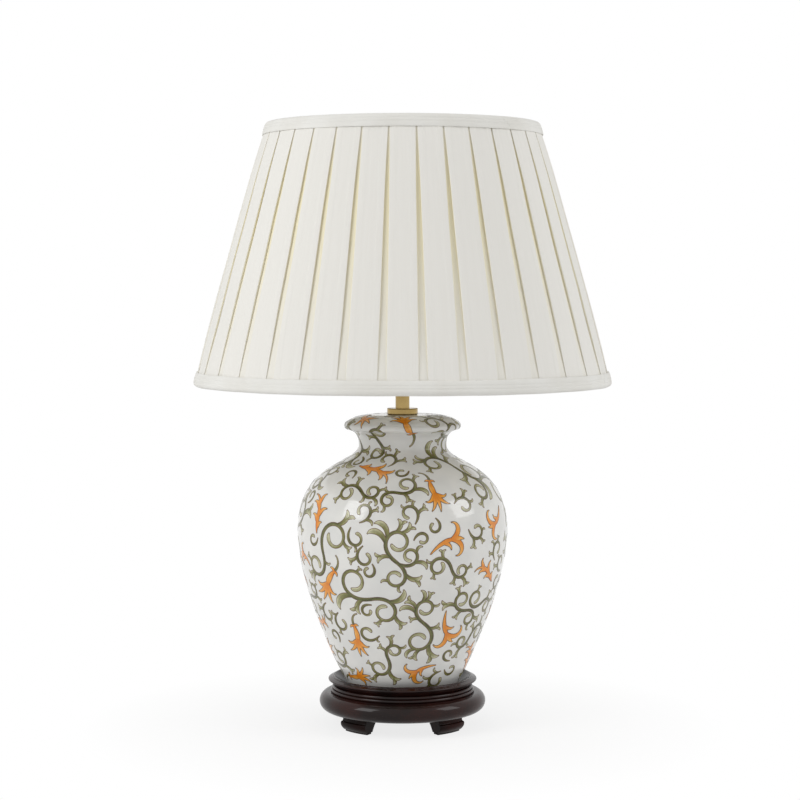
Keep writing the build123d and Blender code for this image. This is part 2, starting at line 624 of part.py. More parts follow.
def socket_contact():
    """Springy centre contact that rises from the block to the bulb's tip."""
    low = BLOCK_TOP_Z
    high = BLOCK_TOP_Z + CONTACT_RISE
    heel = -CONTACT_REACH
    strip = Polyline(
        (heel, low),
        (heel + CONTACT_PAD, low),
        (-CONTACT_PAD, high),
        (CONTACT_PAD, high),
        (CONTACT_PAD, high + CONTACT_THICKNESS),
        (-CONTACT_PAD - CONTACT_THICKNESS, high + CONTACT_THICKNESS),
        (heel + CONTACT_PAD - CONTACT_THICKNESS, low + CONTACT_THICKNESS),
        (heel, low + CONTACT_THICKNESS),
        close=True,
    )
    return extrude(Plane.XZ * make_face(strip), CONTACT_WIDTH / 2, both=True)


def switch_ends():
    """Where the bar's two ends are at rest, pushed fully towards -X."""
    right = HOLDER_RADIUS + SWITCH_GRIP
    left = -(HOLDER_RADIUS + SWITCH_GRIP + SWITCH_TRAVEL)
    return left, right


def switch_bar():
    """Bar that slides through the block, on along +X and off along -X."""
    left, right = switch_ends()
    return across(SWITCH_BAR_RADIUS, left, right - left)


def switch_buttons():
    """Crowned buttons on the two ends of the bar."""
    left, right = switch_ends()
    outline = [
        Line((0, 0), (BUTTON_RADIUS, 0)),
        Line((BUTTON_RADIUS, 0), (BUTTON_RADIUS, BUTTON_LENGTH - BUTTON_CROWN)),
        Bezier((BUTTON_RADIUS, BUTTON_LENGTH - BUTTON_CROWN), (BUTTON_RADIUS, BUTTON_LENGTH),
               (BUTTON_RADIUS / 2, BUTTON_LENGTH), (0, BUTTON_LENGTH)),
        Line((0, BUTTON_LENGTH), (0, 0)),
    ]
    button = turned(outline)
    right_button = Pos(right, 0, SWITCH_Z) * Rot(0, 90, 0) * button
    left_button = Pos(left, 0, SWITCH_Z) * Rot(0, -90, 0) * button
    return Part() + [left_button, right_button]


def clamp_ring(bottom):
    """Threaded ring on the skirt that clamps the shade carrier."""
    return ring(HOLDER_RADIUS + THREAD_GAP, CLAMP_RING_RADIUS, bottom, CLAMP_RING_HEIGHT)


# The shade carrier

def arm_foot_radius():
    """Distance from the axis of the arms' feet, on the lug outside the clamp rings."""
    return CLAMP_RING_RADIUS + CARRIER_LUG / 2


def carrier_ring():
    """Flat ring that turns between the clamp rings."""
    return ring(HOLDER_RADIUS + RUN_GAP, CLAMP_RING_RADIUS + CARRIER_LUG, CARRIER_Z, CARRIER_PLATE)


def carrier_arm(angle):
    """Bent wire arm from the flat ring out past the bulb and in to the gallery."""
    low = CARRIER_Z + CARRIER_PLATE
    foot_radius = arm_foot_radius()
    top_radius = GALLERY_RADIUS - GALLERY_WIDTH / 2
    points = [
        (foot_radius, low),
        (foot_radius, low + CARRIER_FOOT_RISE),
        (CARRIER_SPREAD, low + CARRIER_FLARE_RISE),
        (CARRIER_SPREAD, GALLERY_Z - CARRIER_SHOULDER),
        (top_radius, GALLERY_Z - CARRIER_FOOT_RISE),
        (top_radius, GALLERY_Z),
    ]
    return around(bent_wire(points, CARRIER_WIRE, CARRIER_BEND), angle)


def carrier_gallery():
    """Ring on top of the arms with an upstanding lip that centres the shade's fitter."""
    inner = GALLERY_RADIUS - GALLERY_WIDTH
    plate = ring(inner, GALLERY_RADIUS, GALLERY_Z, GALLERY_THICKNESS)
    return plate + ring(inner, inner + GALLERY_LIP, GALLERY_Z, GALLERY_THICKNESS + GALLERY_LIP_HEIGHT)


# The bulb

def bulb_heights():
    """Heights of the tip's lower face, the insulator, the screw cap and the glass."""
    tip_z = BLOCK_TOP_Z + CONTACT_RISE + CONTACT_THICKNESS + RUN_GAP
    insulator_z = tip_z + BULB_TIP_HEIGHT
    cap_z = insulator_z + BULB_INSULATOR_HEIGHT
    glass_z = cap_z + BULB_CAP_LENGTH
    return tip_z, insulator_z, cap_z, glass_z


def bulb_tip():
    """Solder contact at the bottom of the bulb."""
    tip_z, insulator_z, cap_z, glass_z = bulb_heights()
    return disc(BULB_TIP_RADIUS, tip_z, BULB_TIP_HEIGHT)


def bulb_insulator():
    """Dark glass insulator between the tip and the screw cap."""
    tip_z, insulator_z, cap_z, glass_z = bulb_heights()
    outline = Polyline((0, insulator_z), (BULB_TIP_RADIUS, insulator_z), (BULB_INSULATOR_RADIUS, cap_z),
                       (0, cap_z), close=True)
    return turned(outline)


def bulb_screw_cap():
    """Brass cup of the bulb's screw cap, open under the glass."""
    tip_z, insulator_z, cap_z, glass_z = bulb_heights()
    wall = BULB_CAP_WALL
    root = BULB_INSULATOR_RADIUS
    taper_z = cap_z + BULB_CAP_TAPER
    outline = Polyline(
        (root - wall, cap_z),
        (root, cap_z),
        (BULB_CAP_RADIUS, taper_z),
        (BULB_CAP_RADIUS, glass_z),
        (BULB_CAP_RADIUS - wall, glass_z),
        (BULB_CAP_RADIUS - wall, taper_z),
        close=True,
    )
    return turned(outline)


def bulb_envelope(inset):
    """Curves of the glass from its neck round to its top."""
    tip_z, insulator_z, cap_z, glass_z = bulb_heights()
    neck = BULB_CAP_RADIUS - inset
    radius = BULB_RADIUS - inset
    top_z = glass_z + BULB_GLASS_LENGTH - inset
    middle_z = glass_z + BULB_GLASS_LENGTH - BULB_RADIUS
    crown = (radius * math.sqrt(0.5), middle_z + radius * math.sqrt(0.5))
    return [
        Bezier((neck, glass_z), (neck, glass_z + BULB_NECK_PULL), (radius, middle_z - BULB_NECK_PULL),
               (radius, middle_z)),
        ThreePointArc((radius, middle_z), crown, (0, top_z)),
        Line((0, top_z), (0, glass_z)),
        Line((0, glass_z), (neck, glass_z)),
    ]


def bulb_glass():
    """Glass envelope, open at the neck."""
    return turned(bulb_envelope(0.0)) - turned(bulb_envelope(BULB_GLASS_WALL))


def bulb_hub_heights():
    """Heights of the lower faces of the two hubs that hold the filaments."""
    tip_z, insulator_z, cap_z, glass_z = bulb_heights()
    upper = glass_z + BULB_MOUNT_HEIGHT
    lower = upper - FILAMENT_LENGTH - BULB_HUB_THICKNESS
    return lower, upper


def bulb_mount():
    """Glass pillar in the neck, with the two hubs that hold the filaments."""
    tip_z, insulator_z, cap_z, glass_z = bulb_heights()
    lower, upper = bulb_hub_heights()
    pillar = disc(BULB_MOUNT_RADIUS, glass_z, BULB_MOUNT_HEIGHT)
    pillar += disc(BULB_CAP_RADIUS - BULB_GLASS_WALL - THREAD_GAP, glass_z, BULB_MOUNT_BASE)
    pillar += disc(BULB_HUB_RADIUS, lower, BULB_HUB_THICKNESS)
    return pillar + disc(BULB_HUB_RADIUS, upper, BULB_HUB_THICKNESS)


def bulb_filaments():
    """Upright filament rods between the two hubs."""
    lower, upper = bulb_hub_heights()
    place = (BULB_HUB_RADIUS + BULB_MOUNT_RADIUS) / 2
    rod = Pos(place, 0, 0) * disc(FILAMENT_RADIUS, lower + BULB_HUB_THICKNESS, FILAMENT_LENGTH)
    return Part() + [around(rod, 360 * k / FILAMENT_COUNT) for k in range(FILAMENT_COUNT)]


# The shade

def on_wall(up, out):
    """Radius and height of a point this far up the shade's slanting wall and out from the lining."""
    radius = SHADE_BOTTOM_RADIUS - up * math.sin(SHADE_LEAN) + out * math.cos(SHADE_LEAN)
    height = SHADE_Z + up * math.cos(SHADE_LEAN) + out * math.sin(SHADE_LEAN)
    return radius, height


def wire_ring(up):
    """Wire ring inside the lining at one edge of the shade."""
    radius, height = on_wall(up, RING_CENTRE)
    return Pos(0, 0, height) * Torus(radius, RING_WIRE)


def shade_top_wire():
    """Wire ring at the shade's top edge."""
    return wire_ring(SHADE_SLANT - TRIM_ROUND)


def shade_bottom_wire():
    """Wire ring at the shade's bottom edge."""
    return wire_ring(TRIM_ROUND)


def shade_fitter():
    """Flat ring of the shade that rests on the carrier's gallery."""
    inner = GALLERY_RADIUS - GALLERY_WIDTH + GALLERY_LIP + RUN_GAP
    return ring(inner, inner + FITTER_WIDTH, FITTER_Z, FITTER_THICKNESS)


def strut_wire(radius):
    """One strut from the fitter up and out to the middle of the top wire."""
    fitter_inner = GALLERY_RADIUS - GALLERY_WIDTH + GALLERY_LIP + RUN_GAP
    foot_radius = fitter_inner + FITTER_WIDTH / 2
    low = FITTER_Z + FITTER_THICKNESS
    points = [(foot_radius, low), (foot_radius, low + STRUT_RISE)]
    points.append(on_wall(SHADE_SLANT - TRIM_ROUND, RING_CENTRE))
    return bent_wire(points, radius, STRUT_BEND)


def shade_strut(index):
    """One strut, fitted against the top wire."""
    strut = strut_wire(STRUT_WIRE) - shade_top_wire()
    return around(strut, strut_angle(index))


def strut_angle(index):
    """Direction of a strut: the first points to the back."""
    return 90 + 360 * index / STRUT_COUNT


def shade_lining():
    """Stiff lining: the plain cone that the pleats are stretched over."""
    inset = TRIM_ROUND / 2
    low = inset
    high = SHADE_SLANT - inset
    corners = [on_wall(low, -LINING_THICKNESS), on_wall(low, 0), on_wall(high, 0),
               on_wall(high, -LINING_THICKNESS)]
    return turned(Polyline(*corners, close=True))


def pleat_section(up, swell):
    """Outline of the pleated cover this far up the wall, as a flat face; swell deepens the pleats."""
    gap = PLEAT_GAP_BOTTOM + up / SHADE_SLANT * (PLEAT_GAP_TOP - PLEAT_GAP_BOTTOM)
    wall_radius, height = on_wall(up, 0)
    floor = wall_radius + PLEAT_FLOOR / math.cos(SHADE_LEAN)
    face = wall_radius + (PLEAT_EDGE + swell) / math.cos(SHADE_LEAN)
    pitch = 2 * math.pi / PLEAT_COUNT
    half_gap = gap / 2 / face
    corners = []
    for k in range(PLEAT_COUNT):
        start = -math.pi / 2 + (k - 0.5) * pitch
        for radius, angle in (
            (floor, start - half_gap),
            (floor, start + half_gap),
            (face, start + half_gap),
            (face, start + pitch - half_gap),
        ):
            corners.append((radius * math.cos(angle), radius * math.sin(angle)))
    return Pos(0, 0, height) * make_face(Polyline(*corners, close=True))


def pleat_back(up):
    """Outline of the cover's back this far up the wall, as a flat face of even flats round the lining."""
    radius, height = on_wall(up, CLOTH_GAP)
    flats = round(PLEAT_BACK_FLATS) * PLEAT_COUNT
    return Pos(0, 0, height) * RegularPolygon(radius, flats, major_radius=False)


def shade_pleats():
    """Box-pleated cover: each pleat is a flat panel that swells out between the trims."""
    tuck = TRIM_OUTER_HEIGHT + TRIM_FACE_OUTER * math.tan(SHADE_LEAN)
    free = SHADE_SLANT - 2 * tuck
    sections = [pleat_section(TRIM_ROUND, 0.0)]
    for k in range(PLEAT_BENDS + 1):
        share = k / PLEAT_BENDS
        swell = PLEAT_SWELL * (1 - (2 * share - 1) ** 4)
        sections.append(pleat_section(tuck + share * free, swell))
    sections.append(pleat_section(SHADE_SLANT - TRIM_ROUND, 0.0))
    cover = loft(sections, ruled=True)
    return cover - loft([pleat_back(0), pleat_back(SHADE_SLANT)], ruled=True)


def edge_trim(from_edge):
    """Folded tape round one edge of the shade; from_edge gives the way up the wall from that edge."""
    middle_out = (TRIM_FACE_OUTER + TRIM_BACK_OUTER) / 2
    middle_in = (TRIM_FACE_INNER + TRIM_BACK_INNER) / 2

    def place(up, out):
        return on_wall(from_edge(up), out)

    face_in = place(TRIM_ROUND, TRIM_FACE_INNER)
    face_out = place(TRIM_ROUND, TRIM_FACE_OUTER)
    back_in = place(TRIM_ROUND, TRIM_BACK_INNER)
    back_out = place(TRIM_ROUND, TRIM_BACK_OUTER)
    face_tip_in = place(TRIM_OUTER_HEIGHT, TRIM_FACE_INNER)
    face_tip_out = place(TRIM_OUTER_HEIGHT, TRIM_FACE_OUTER)
    back_tip_in = place(TRIM_INNER_HEIGHT, TRIM_BACK_INNER)
    back_tip_out = place(TRIM_INNER_HEIGHT, TRIM_BACK_OUTER)
    return turned([
        Line(face_tip_in, face_tip_out),
        Line(face_tip_out, face_out),
        ThreePointArc(face_out, place(0, middle_out), back_out),
        Line(back_out, back_tip_out),
        Line(back_tip_out, back_tip_in),
        Line(back_tip_in, back_in),
        ThreePointArc(back_in, place(TRIM_ROUND - TRIM_HOLLOW, middle_in), face_in),
        Line(face_in, face_tip_in),
    ])


def shade_bottom_trim():
    """Trim round the shade's bottom edge."""
    return edge_trim(lambda up: up)


def shade_top_trim():
    """Trim round the shade's top edge, slit where the struts pass."""
    trim = edge_trim(lambda up: SHADE_SLANT - up)
    slit = strut_wire(STRUT_WIRE + CLOTH_GAP)
    for index in range(STRUT_COUNT):
        trim -= around(slit, strut_angle(index))
    return trim


NODES = {
    "stand_plinth": stand_plinth(),
    "foot_dowels": foot_dowels(),
    "cord_grommet": cord_grommet(),
    "centre_rod": centre_rod(),
    "rod_washer": rod_washer(),
    "rod_nut": rod_nut(),
    "jar_seat_felt": jar_seat_felt(),
    "porcelain_jar": porcelain_jar(),
    "jar_top_gasket": jar_top_gasket(),
    "brass_collar": brass_collar(),
    "brass_stem": brass_stem(),
    "lampholder_cap": lampholder_cap(),
    "lampholder_skirt": lampholder_skirt(),
    "terminal_block": terminal_block(),
    "terminal_screws": terminal_screws(),
    "socket_liner": socket_liner(),
    "socket_shell": socket_shell(),
    "socket_contact": socket_contact(),
    "switch_bar": switch_bar(),
    "switch_buttons": switch_buttons(),
    "clamp_ring_lower": clamp_ring(LOWER_RING_Z),
    "clamp_ring_upper": clamp_ring(UPPER_RING_Z),
    "carrier_ring": carrier_ring(),
    "carrier_arm_right": carrier_arm(0),
    "carrier_arm_left": carrier_arm(180),
    "carrier_gallery": carrier_gallery(),
    "bulb_tip": bulb_tip(),
    "bulb_insulator": bulb_insulator(),
    "bulb_screw_cap": bulb_screw_cap(),
    "bulb_glass": bulb_glass(),
    "bulb_mount": bulb_mount(),
    "bulb_filaments": bulb_filaments(),
    "shade_fitter": shade_fitter(),
    "shade_top_wire": shade_top_wire(),
    "shade_bottom_wire": shade_bottom_wire(),
    "shade_lining": shade_lining(),
    "shade_pleats": shade_pleats(),
    "shade_top_trim": shade_top_trim(),
    "shade_bottom_trim": shade_bottom_trim(),
}
for place_name, place_angle in FOOT_PLACES.items():
    NODES[f"foot_{place_name}"] = foot(place_angle)
    NODES[f"felt_pad_{place_name}"] = felt_pad(place_angle)
for strut_index in range(STRUT_COUNT):
    NODES[f"shade_strut_{strut_index + 1}"] = shade_strut(strut_index)

for node_name, node_shape in NODES.items():
    export_step(node_shape, f"parts/{node_name}.step")
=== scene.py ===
"""Bedside lamp: glazed jar with painted vines, pleated shade, turned stand and brass fittings."""
import bisect
import json
import math
import random

import bmesh
import bpy
from bpy.props import FloatProperty, FloatVectorProperty, IntProperty, PointerProperty
from bpy.types import Operator, Panel, PropertyGroup
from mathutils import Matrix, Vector


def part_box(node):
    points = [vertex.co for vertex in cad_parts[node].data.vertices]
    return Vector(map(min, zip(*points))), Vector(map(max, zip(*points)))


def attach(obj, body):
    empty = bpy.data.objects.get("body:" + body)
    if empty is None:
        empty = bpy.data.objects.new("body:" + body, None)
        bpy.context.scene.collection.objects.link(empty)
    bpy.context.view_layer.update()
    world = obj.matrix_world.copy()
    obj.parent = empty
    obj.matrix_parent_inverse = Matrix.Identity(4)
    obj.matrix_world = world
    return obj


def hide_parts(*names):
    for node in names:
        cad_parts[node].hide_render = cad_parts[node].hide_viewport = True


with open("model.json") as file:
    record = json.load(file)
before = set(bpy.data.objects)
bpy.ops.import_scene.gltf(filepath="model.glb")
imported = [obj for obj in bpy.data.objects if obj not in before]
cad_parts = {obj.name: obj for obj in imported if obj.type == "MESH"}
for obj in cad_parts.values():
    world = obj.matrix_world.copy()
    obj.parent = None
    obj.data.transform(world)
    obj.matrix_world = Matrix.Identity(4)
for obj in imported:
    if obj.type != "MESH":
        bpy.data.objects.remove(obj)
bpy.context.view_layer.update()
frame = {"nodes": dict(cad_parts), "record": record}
SLOT_OF = {part["node"]: part["material_slot"] for part in frame["record"]["subparts"]}
JAR_FOOT_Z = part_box("porcelain_jar")[0].z

bl_info = {
    "name": "Bedside lamp",
    "version": (1, 0, 0),
    "blender": (4, 5, 0),
    "location": "3D View > Sidebar > Lamp",
    "description": "Dresses the packed lamp with its glaze, painted vines, pleated cloth, wood and metal",
    "category": "Object",
}

MM = 0.001


def linear(code):
    """Linear colour of an sRGB hex code."""
    parts = [int(code[k:k + 2], 16) / 255 for k in (0, 2, 4)]
    return [v / 12.92 if v <= 0.04045 else ((v + 0.055) / 1.055) ** 2.4 for v in parts]


def metres(name, description, default):
    """A size in metres that a user may change."""
    return FloatProperty(name=name, description=description, default=default, unit="LENGTH")


def colour(name, description, code):
    """A colour that a user may change, from its sRGB hex code."""
    return FloatVectorProperty(name=name, description=description, default=linear(code), subtype="COLOR")


class JarSizes(PropertyGroup):
    """The jar's outline, heights above its own foot."""
    foot_radius: metres("Foot radius", "Outside of the foot", 0.061)
    flank_angle: FloatProperty(name="Flank angle", description="Slope of the flank at the foot",
                               default=math.radians(63.2), subtype="ANGLE")
    flank_pull: metres("Flank pull", "How far the flank keeps that slope", 0.068)
    belly_radius: metres("Belly radius", "Widest radius", 0.1155)
    belly_height: metres("Belly height", "Height of the widest place", 0.171)
    belly_pull_low: metres("Belly pull below", "Fullness below the belly", 0.044)
    belly_pull_high: metres("Belly pull above", "Fullness of the shoulder", 0.077)
    neck_radius: metres("Neck radius", "Narrowest radius", 0.0482)
    neck_height: metres("Neck height", "Height of the narrowest place", 0.2652)
    neck_pull: metres("Neck pull", "How upright the neck is", 0.022)
    lip_radius: metres("Lip radius", "Outside of the lip", 0.064)
    lip_rise: metres("Lip rise", "From the neck up to the lip", 0.0213)
    lip_round: metres("Lip round", "Half of the lip's thickness", 0.0038)
    crown_rise: metres("Crown rise", "From the lip up to the crown", 0.012)
    crown_flat: metres("Crown flat", "Radius of the flat under the collar", 0.024)
    wall: metres("Wall", "Thickness of the porcelain", 0.005)
    glaze: colour("Glaze", "White of the glazed body", "ecebe7")
    glaze_pool: colour("Glaze pool", "Where the glaze ran thicker", "e2e2df")


class VineLooks(PropertyGroup):
    """The painted vines: how many, how wide and in which enamels."""
    seed: IntProperty(name="Seed", description="Which drawing of the vines", default=21)
    line: metres("Outline", "Width of the brown outline", 0.0007)
    leaf_dark: colour("Leaf dark", "At the joints", "444823")
    leaf_mid: colour("Leaf", "Along the stems", "85834d")
    leaf_pale: colour("Leaf pale", "At the tips", "d3d0ac")
    flower_deep: colour("Flower deep", "At the base", "db771b")
    flower_mid: colour("Flower", "Middle of the petals", "ee962f")
    flower_pale: colour("Flower pale", "At the tips", "f6c068")
    outline: colour("Outline colour", "Brown line round each shape", "60432e")


class ShadeSizes(PropertyGroup):
    """The shade's wall, pleats and trims."""
    bottom_radius: metres("Bottom radius", "Lining at the bottom edge", 0.2272)
    top_radius: metres("Top radius", "Lining at the top edge", 0.1467)
    bottom_z: metres("Bottom", "Height of the bottom edge", 0.3764)
    height: metres("Height", "Height of the shade", 0.286)
    pleats: IntProperty(name="Pleats", description="Box pleats round the shade", default=34, min=8)
    gap_bottom: metres("Gap below", "Between pleats at the bottom", 0.010)
    gap_top: metres("Gap above", "Between pleats at the top", 0.001)
    gape: metres("Gape", "How much wider the gaps stand above mid height", 0.001)
    floor: metres("Floor", "Depth of the cloth between pleats", 0.0006)
    edge: metres("Pleat edge", "Depth of a pleat at the trims", 0.0016)
    swell: metres("Swell", "How much deeper a pleat is at mid height", 0.0018)
    underlap: metres("Underlap", "Cloth folded under a pleat's edge", 0.0054)
    unevenness: metres("Unevenness", "How far the hand-folded cloth strays", 0.0009)
    trim_height: metres("Trim height", "Outer face of a trim", 0.015)
    cloth: colour("Cloth", "Ivory of the pleats", "f4f2ec")
    # Painted shade: a warm tan mixed into the cloth where it lies deep between pleats
    recess_shade: colour("Recess", "Cloth seen deep between pleats", "f8efca")
    trim: colour("Trim", "White of the trims", "f2f1ec")


class StandLooks(PropertyGroup):
    """The lacquered stand."""
    wood_dark: colour("Wood dark", "Main tone", "190e0c")
    wood_red: colour("Wood red", "Where the stain is thin", "35150f")
    pad_inner: metres("Pad inside", "Inner edge of a pad", 0.0642)
    pad_outer: metres("Pad outside", "Outer edge of a pad", 0.0732)
    pad_sweep: FloatProperty(name="Pad sweep", description="Share of the circle under one foot",
                             default=math.radians(26.2), subtype="ANGLE")
    felt: colour("Felt", "Pads and seat ring", "2a2524")


class MetalLooks(PropertyGroup):
    """Brass and plated metal."""
    brass: colour("Brass", "Polished places", "ad9562")
    brass_dull: colour("Brass dull", "Toned places", "927a4c")
    steel: colour("Steel", "Zinc plating", "b9bcc0")
    cap: colour("Bulb cap", "Nickel plating", "c6c3bb")


class StageLooks(PropertyGroup):
    """Camera, lights and floor."""
    eye: FloatVectorProperty(name="Eye", description="Place of the camera", subtype="TRANSLATION",
                             default=(-0.00275, -2.330, 0.4925))
    pitch: FloatProperty(name="Pitch", description="How far the camera looks down",
                         default=math.radians(3.266), subtype="ANGLE")
    view_angle: FloatProperty(name="View angle", description="Across the picture",
                              default=math.radians(21.3645), subtype="ANGLE")
    key: FloatProperty(name="Key", description="Softbox on the left", default=25.0, subtype="POWER")
    fill: FloatProperty(name="Fill", description="Softbox on the right", default=19.0, subtype="POWER")
    ambient: FloatProperty(name="Ambient", description="Light from all round", default=0.46)
    floor: colour("Floor", "Pale floor", "f2f2f2")


def add(tree, kind, inputs=None, **settings):
    """Add one node with its settings; inputs are values, or sockets to link from."""
    made = tree.nodes.new(kind)
    for key, value in settings.items():
        setattr(made, key, value)
    for key, value in (inputs or {}).items():
        if isinstance(value, bpy.types.NodeSocket):
            tree.links.new(value, made.inputs[key])
        else:
            made.inputs[key].default_value = value
    return made


def finish_of(name, sockets):
    """A new material: its tree and its shader with the even values set."""
    material = bpy.data.materials.new(name)
    material.use_nodes = True
    shader = material.node_tree.nodes["Principled BSDF"]
    for key, value in sockets.items():
        shader.inputs[key].default_value = value
    return material, material.node_tree, shader


def rgba(tint):
    """A colour property with full alpha."""
    return (*tint, 1.0)


def feed(tree, shader, sockets):
    """Link patterns to the shader's sockets."""
    for key, pattern in sockets.items():
        tree.links.new(pattern, shader.inputs[key])


def piece_of(name, points, faces, material, body, smooth=True):
    """A new mesh object at the origin, painted and riding on a body."""
    mesh = bpy.data.meshes.new(name)
    mesh.from_pydata(points, [], faces)
    mesh.polygons.foreach_set("use_smooth", [smooth] * len(mesh.polygons))
    mesh.materials.append(material)
    piece = bpy.data.objects.new(name, mesh)
    bpy.context.scene.collection.objects.link(piece)
    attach(piece, body)
    return piece


def turned(outline, columns, start=0.0, sweep=math.tau):
    """Points and faces of a closed outline of radii and heights turned about the axis, closed at its ends."""
    whole = sweep == math.tau
    rows = columns if whole else columns + 1
    points = []
    for k in range(rows):
        angle = start + sweep * k / columns
        for radius, height in outline:
            points.append((radius * math.cos(angle), radius * math.sin(angle), height))
    count = len(outline)
    faces = []
    for k in range(columns):
        here = k * count
        there = (k + 1) % rows * count
        for i in range(count):
            j = (i + 1) % count
            faces.append((here + i, there + i, there + j, here + j))
    if not whole:
        faces.append(tuple(range(count)))
        faces.append(tuple(columns * count + i for i in range(count)))
    return points, faces


def outward(piece, sharp=40):
    """Turn the faces of a closed piece outwards and keep its hard edges."""
    made = bmesh.new()
    made.from_mesh(piece.data)
    bmesh.ops.recalc_face_normals(made, faces=made.faces)
    made.to_mesh(piece.data)
    made.free()
    piece.data.set_sharp_from_angle(angle=math.radians(sharp))


def cubic(a, b, c, d, count):
    """Points of a cubic curve from a towards d, which is left out."""
    points = []
    for k in range(count):
        t = k / count
        u = 1 - t
        weights = (u * u * u, 3 * u * u * t, 3 * u * t * t, t * t * t)
        points.append(tuple(sum(w * p[i] for w, p in zip(weights, (a, b, c, d))) for i in (0, 1)))
    return points


def paint(nodes, material):
    """Give CAD nodes a finish."""
    for name in nodes:
        slots = frame["nodes"][name].data.materials
        slots.clear()
        slots.append(material)


def nodes_of(*slots):
    """CAD nodes that take their finish from these slots."""
    return [name for name, slot in SLOT_OF.items() if slot in slots]


def jar_flank(sizes, inset, base_z, count):
    """Outline from the foot over the belly to the neck, moved in by inset."""
    foot = (sizes.foot_radius - inset, base_z)
    pull = (foot[0] + sizes.flank_pull * math.cos(sizes.flank_angle),
            base_z + sizes.flank_pull * math.sin(sizes.flank_angle))
    belly_z = JAR_FOOT_Z + sizes.belly_height
    neck_z = JAR_FOOT_Z + sizes.neck_height
    belly = (sizes.belly_radius - inset, belly_z)
    neck = (sizes.neck_radius - inset, neck_z)
    low = cubic(foot, pull, (belly[0], belly_z - sizes.belly_pull_low), belly, count)
    shoulder = (belly[0], belly_z + sizes.belly_pull_high)
    high = cubic(belly, shoulder, (neck[0], neck_z - sizes.neck_pull), neck, count)
    return low + high


def jar_outside(sizes):
    """The jar's outline from foot to crown."""
    neck_z = JAR_FOOT_Z + sizes.neck_height
    lip_z = neck_z + sizes.lip_rise
    top_z = lip_z + sizes.crown_rise
    lip_inner = sizes.lip_radius - sizes.lip_round / 2
    under = (lip_inner, lip_z - sizes.lip_round)
    over = (lip_inner, lip_z + sizes.lip_round)
    rise = top_z - over[1]
    throat = (sizes.neck_radius, neck_z + (under[1] - neck_z) * 2 / 3)
    brow = (sizes.neck_radius + (lip_inner - sizes.neck_radius) / 3, under[1] - sizes.lip_round / 2)
    points = jar_flank(sizes, 0.0, JAR_FOOT_Z, 90)
    points += cubic((sizes.neck_radius, neck_z), throat, brow, under, 40)
    bow = 1.25 * sizes.lip_round
    for k in range(16):
        angle = math.asin(0.8) * (k / 8 - 1)
        points.append((sizes.lip_radius - bow + bow * math.cos(angle), lip_z + bow * math.sin(angle)))
    slope = (lip_inner - rise, over[1] + rise * 3 / 4)
    level = ((lip_inner + sizes.crown_flat) / 2, top_z)
    points += cubic(over, slope, level, (sizes.crown_flat, top_z), 36)
    points.append((sizes.crown_flat, top_z))
    return points


class Ground:
    """The jar's outside unrolled: an angle round the axis and a length up the outline."""

    def __init__(self, outline):
        self.outline = outline
        self.lengths = [0.0]
        for a, b in zip(outline, outline[1:]):
            self.lengths.append(self.lengths[-1] + math.dist(a, b))
        self.total = self.lengths[-1]
        self.radii = [self.at(row * MM)[0] for row in range(int(self.total / MM) + 2)]

    def at(self, length):
        """Radius, height and outward direction at a length up the outline."""
        k = min(max(bisect.bisect(self.lengths, length) - 1, 0), len(self.outline) - 2)
        span = self.lengths[k + 1] - self.lengths[k]
        t = (length - self.lengths[k]) / span
        spans = []
        for i in (k, k + 1):
            before = self.outline[max(i - 1, 0)]
            after = self.outline[min(i + 1, len(self.outline) - 1)]
            spans.append((after[0] - before[0], after[1] - before[1]))
        run = spans[0][0] + t * (spans[1][0] - spans[0][0])
        rise = spans[0][1] + t * (spans[1][1] - spans[0][1])
        size = math.hypot(run, rise)
        a, b = self.outline[k], self.outline[k + 1]
        return a[0] + t * (b[0] - a[0]), a[1] + t * (b[1] - a[1]), rise / size, -run / size

    def radius(self, length):
        """Radius to the nearest millimetre up the outline."""
        return self.radii[min(max(round(length / MM), 0), len(self.radii) - 1)]

    def place(self, angle, length, lift):
        """Point on the jar, lifted off its glaze."""
        radius, height, out, up = self.at(length)
        radius += lift * out
        return radius * math.cos(angle), radius * math.sin(angle), height + lift * up


class Stroke:
    """One brush stroke: its path on the jar, its widths, tones and enamel."""

    def __init__(self, path, widths, tones, enamel):
        self.path = path
        self.widths = widths
        self.tones = tones
        self.enamel = enamel


def swelling(t, start, peak):
    """Width that grows from start to full at the peak."""
    return start + (1 - start) * math.sin(math.pi / 2 * min(t / peak, 1.0))


def tapering(t, peak, power):
    """Width that runs out from full at the peak to a point."""
    return max(1 - (max(t - peak, 0.0) / (1 - peak)) ** power, 0.015)


def volute(t):
    """Width of a stem that thins along its way and ends in a round knob."""
    knob = 0.75 * max(t - 0.78, 0.0) / 0.22
    end = max(1 - (max(t - 0.93, 0.0) / 0.07) ** 2, 0.003)
    return (1 - 0.55 * t + knob) * math.sqrt(end)


# The jar's unseen sizes: hole in its crown and floor, rise of its floor, and its foot's ring, hollow and edge
JAR_HOLE = 0.0125
JAR_FLOOR_RISE = 0.008
FOOT_RING = 0.011
FOOT_HOLLOW = 0.003
FOOT_ROUND = 0.0008
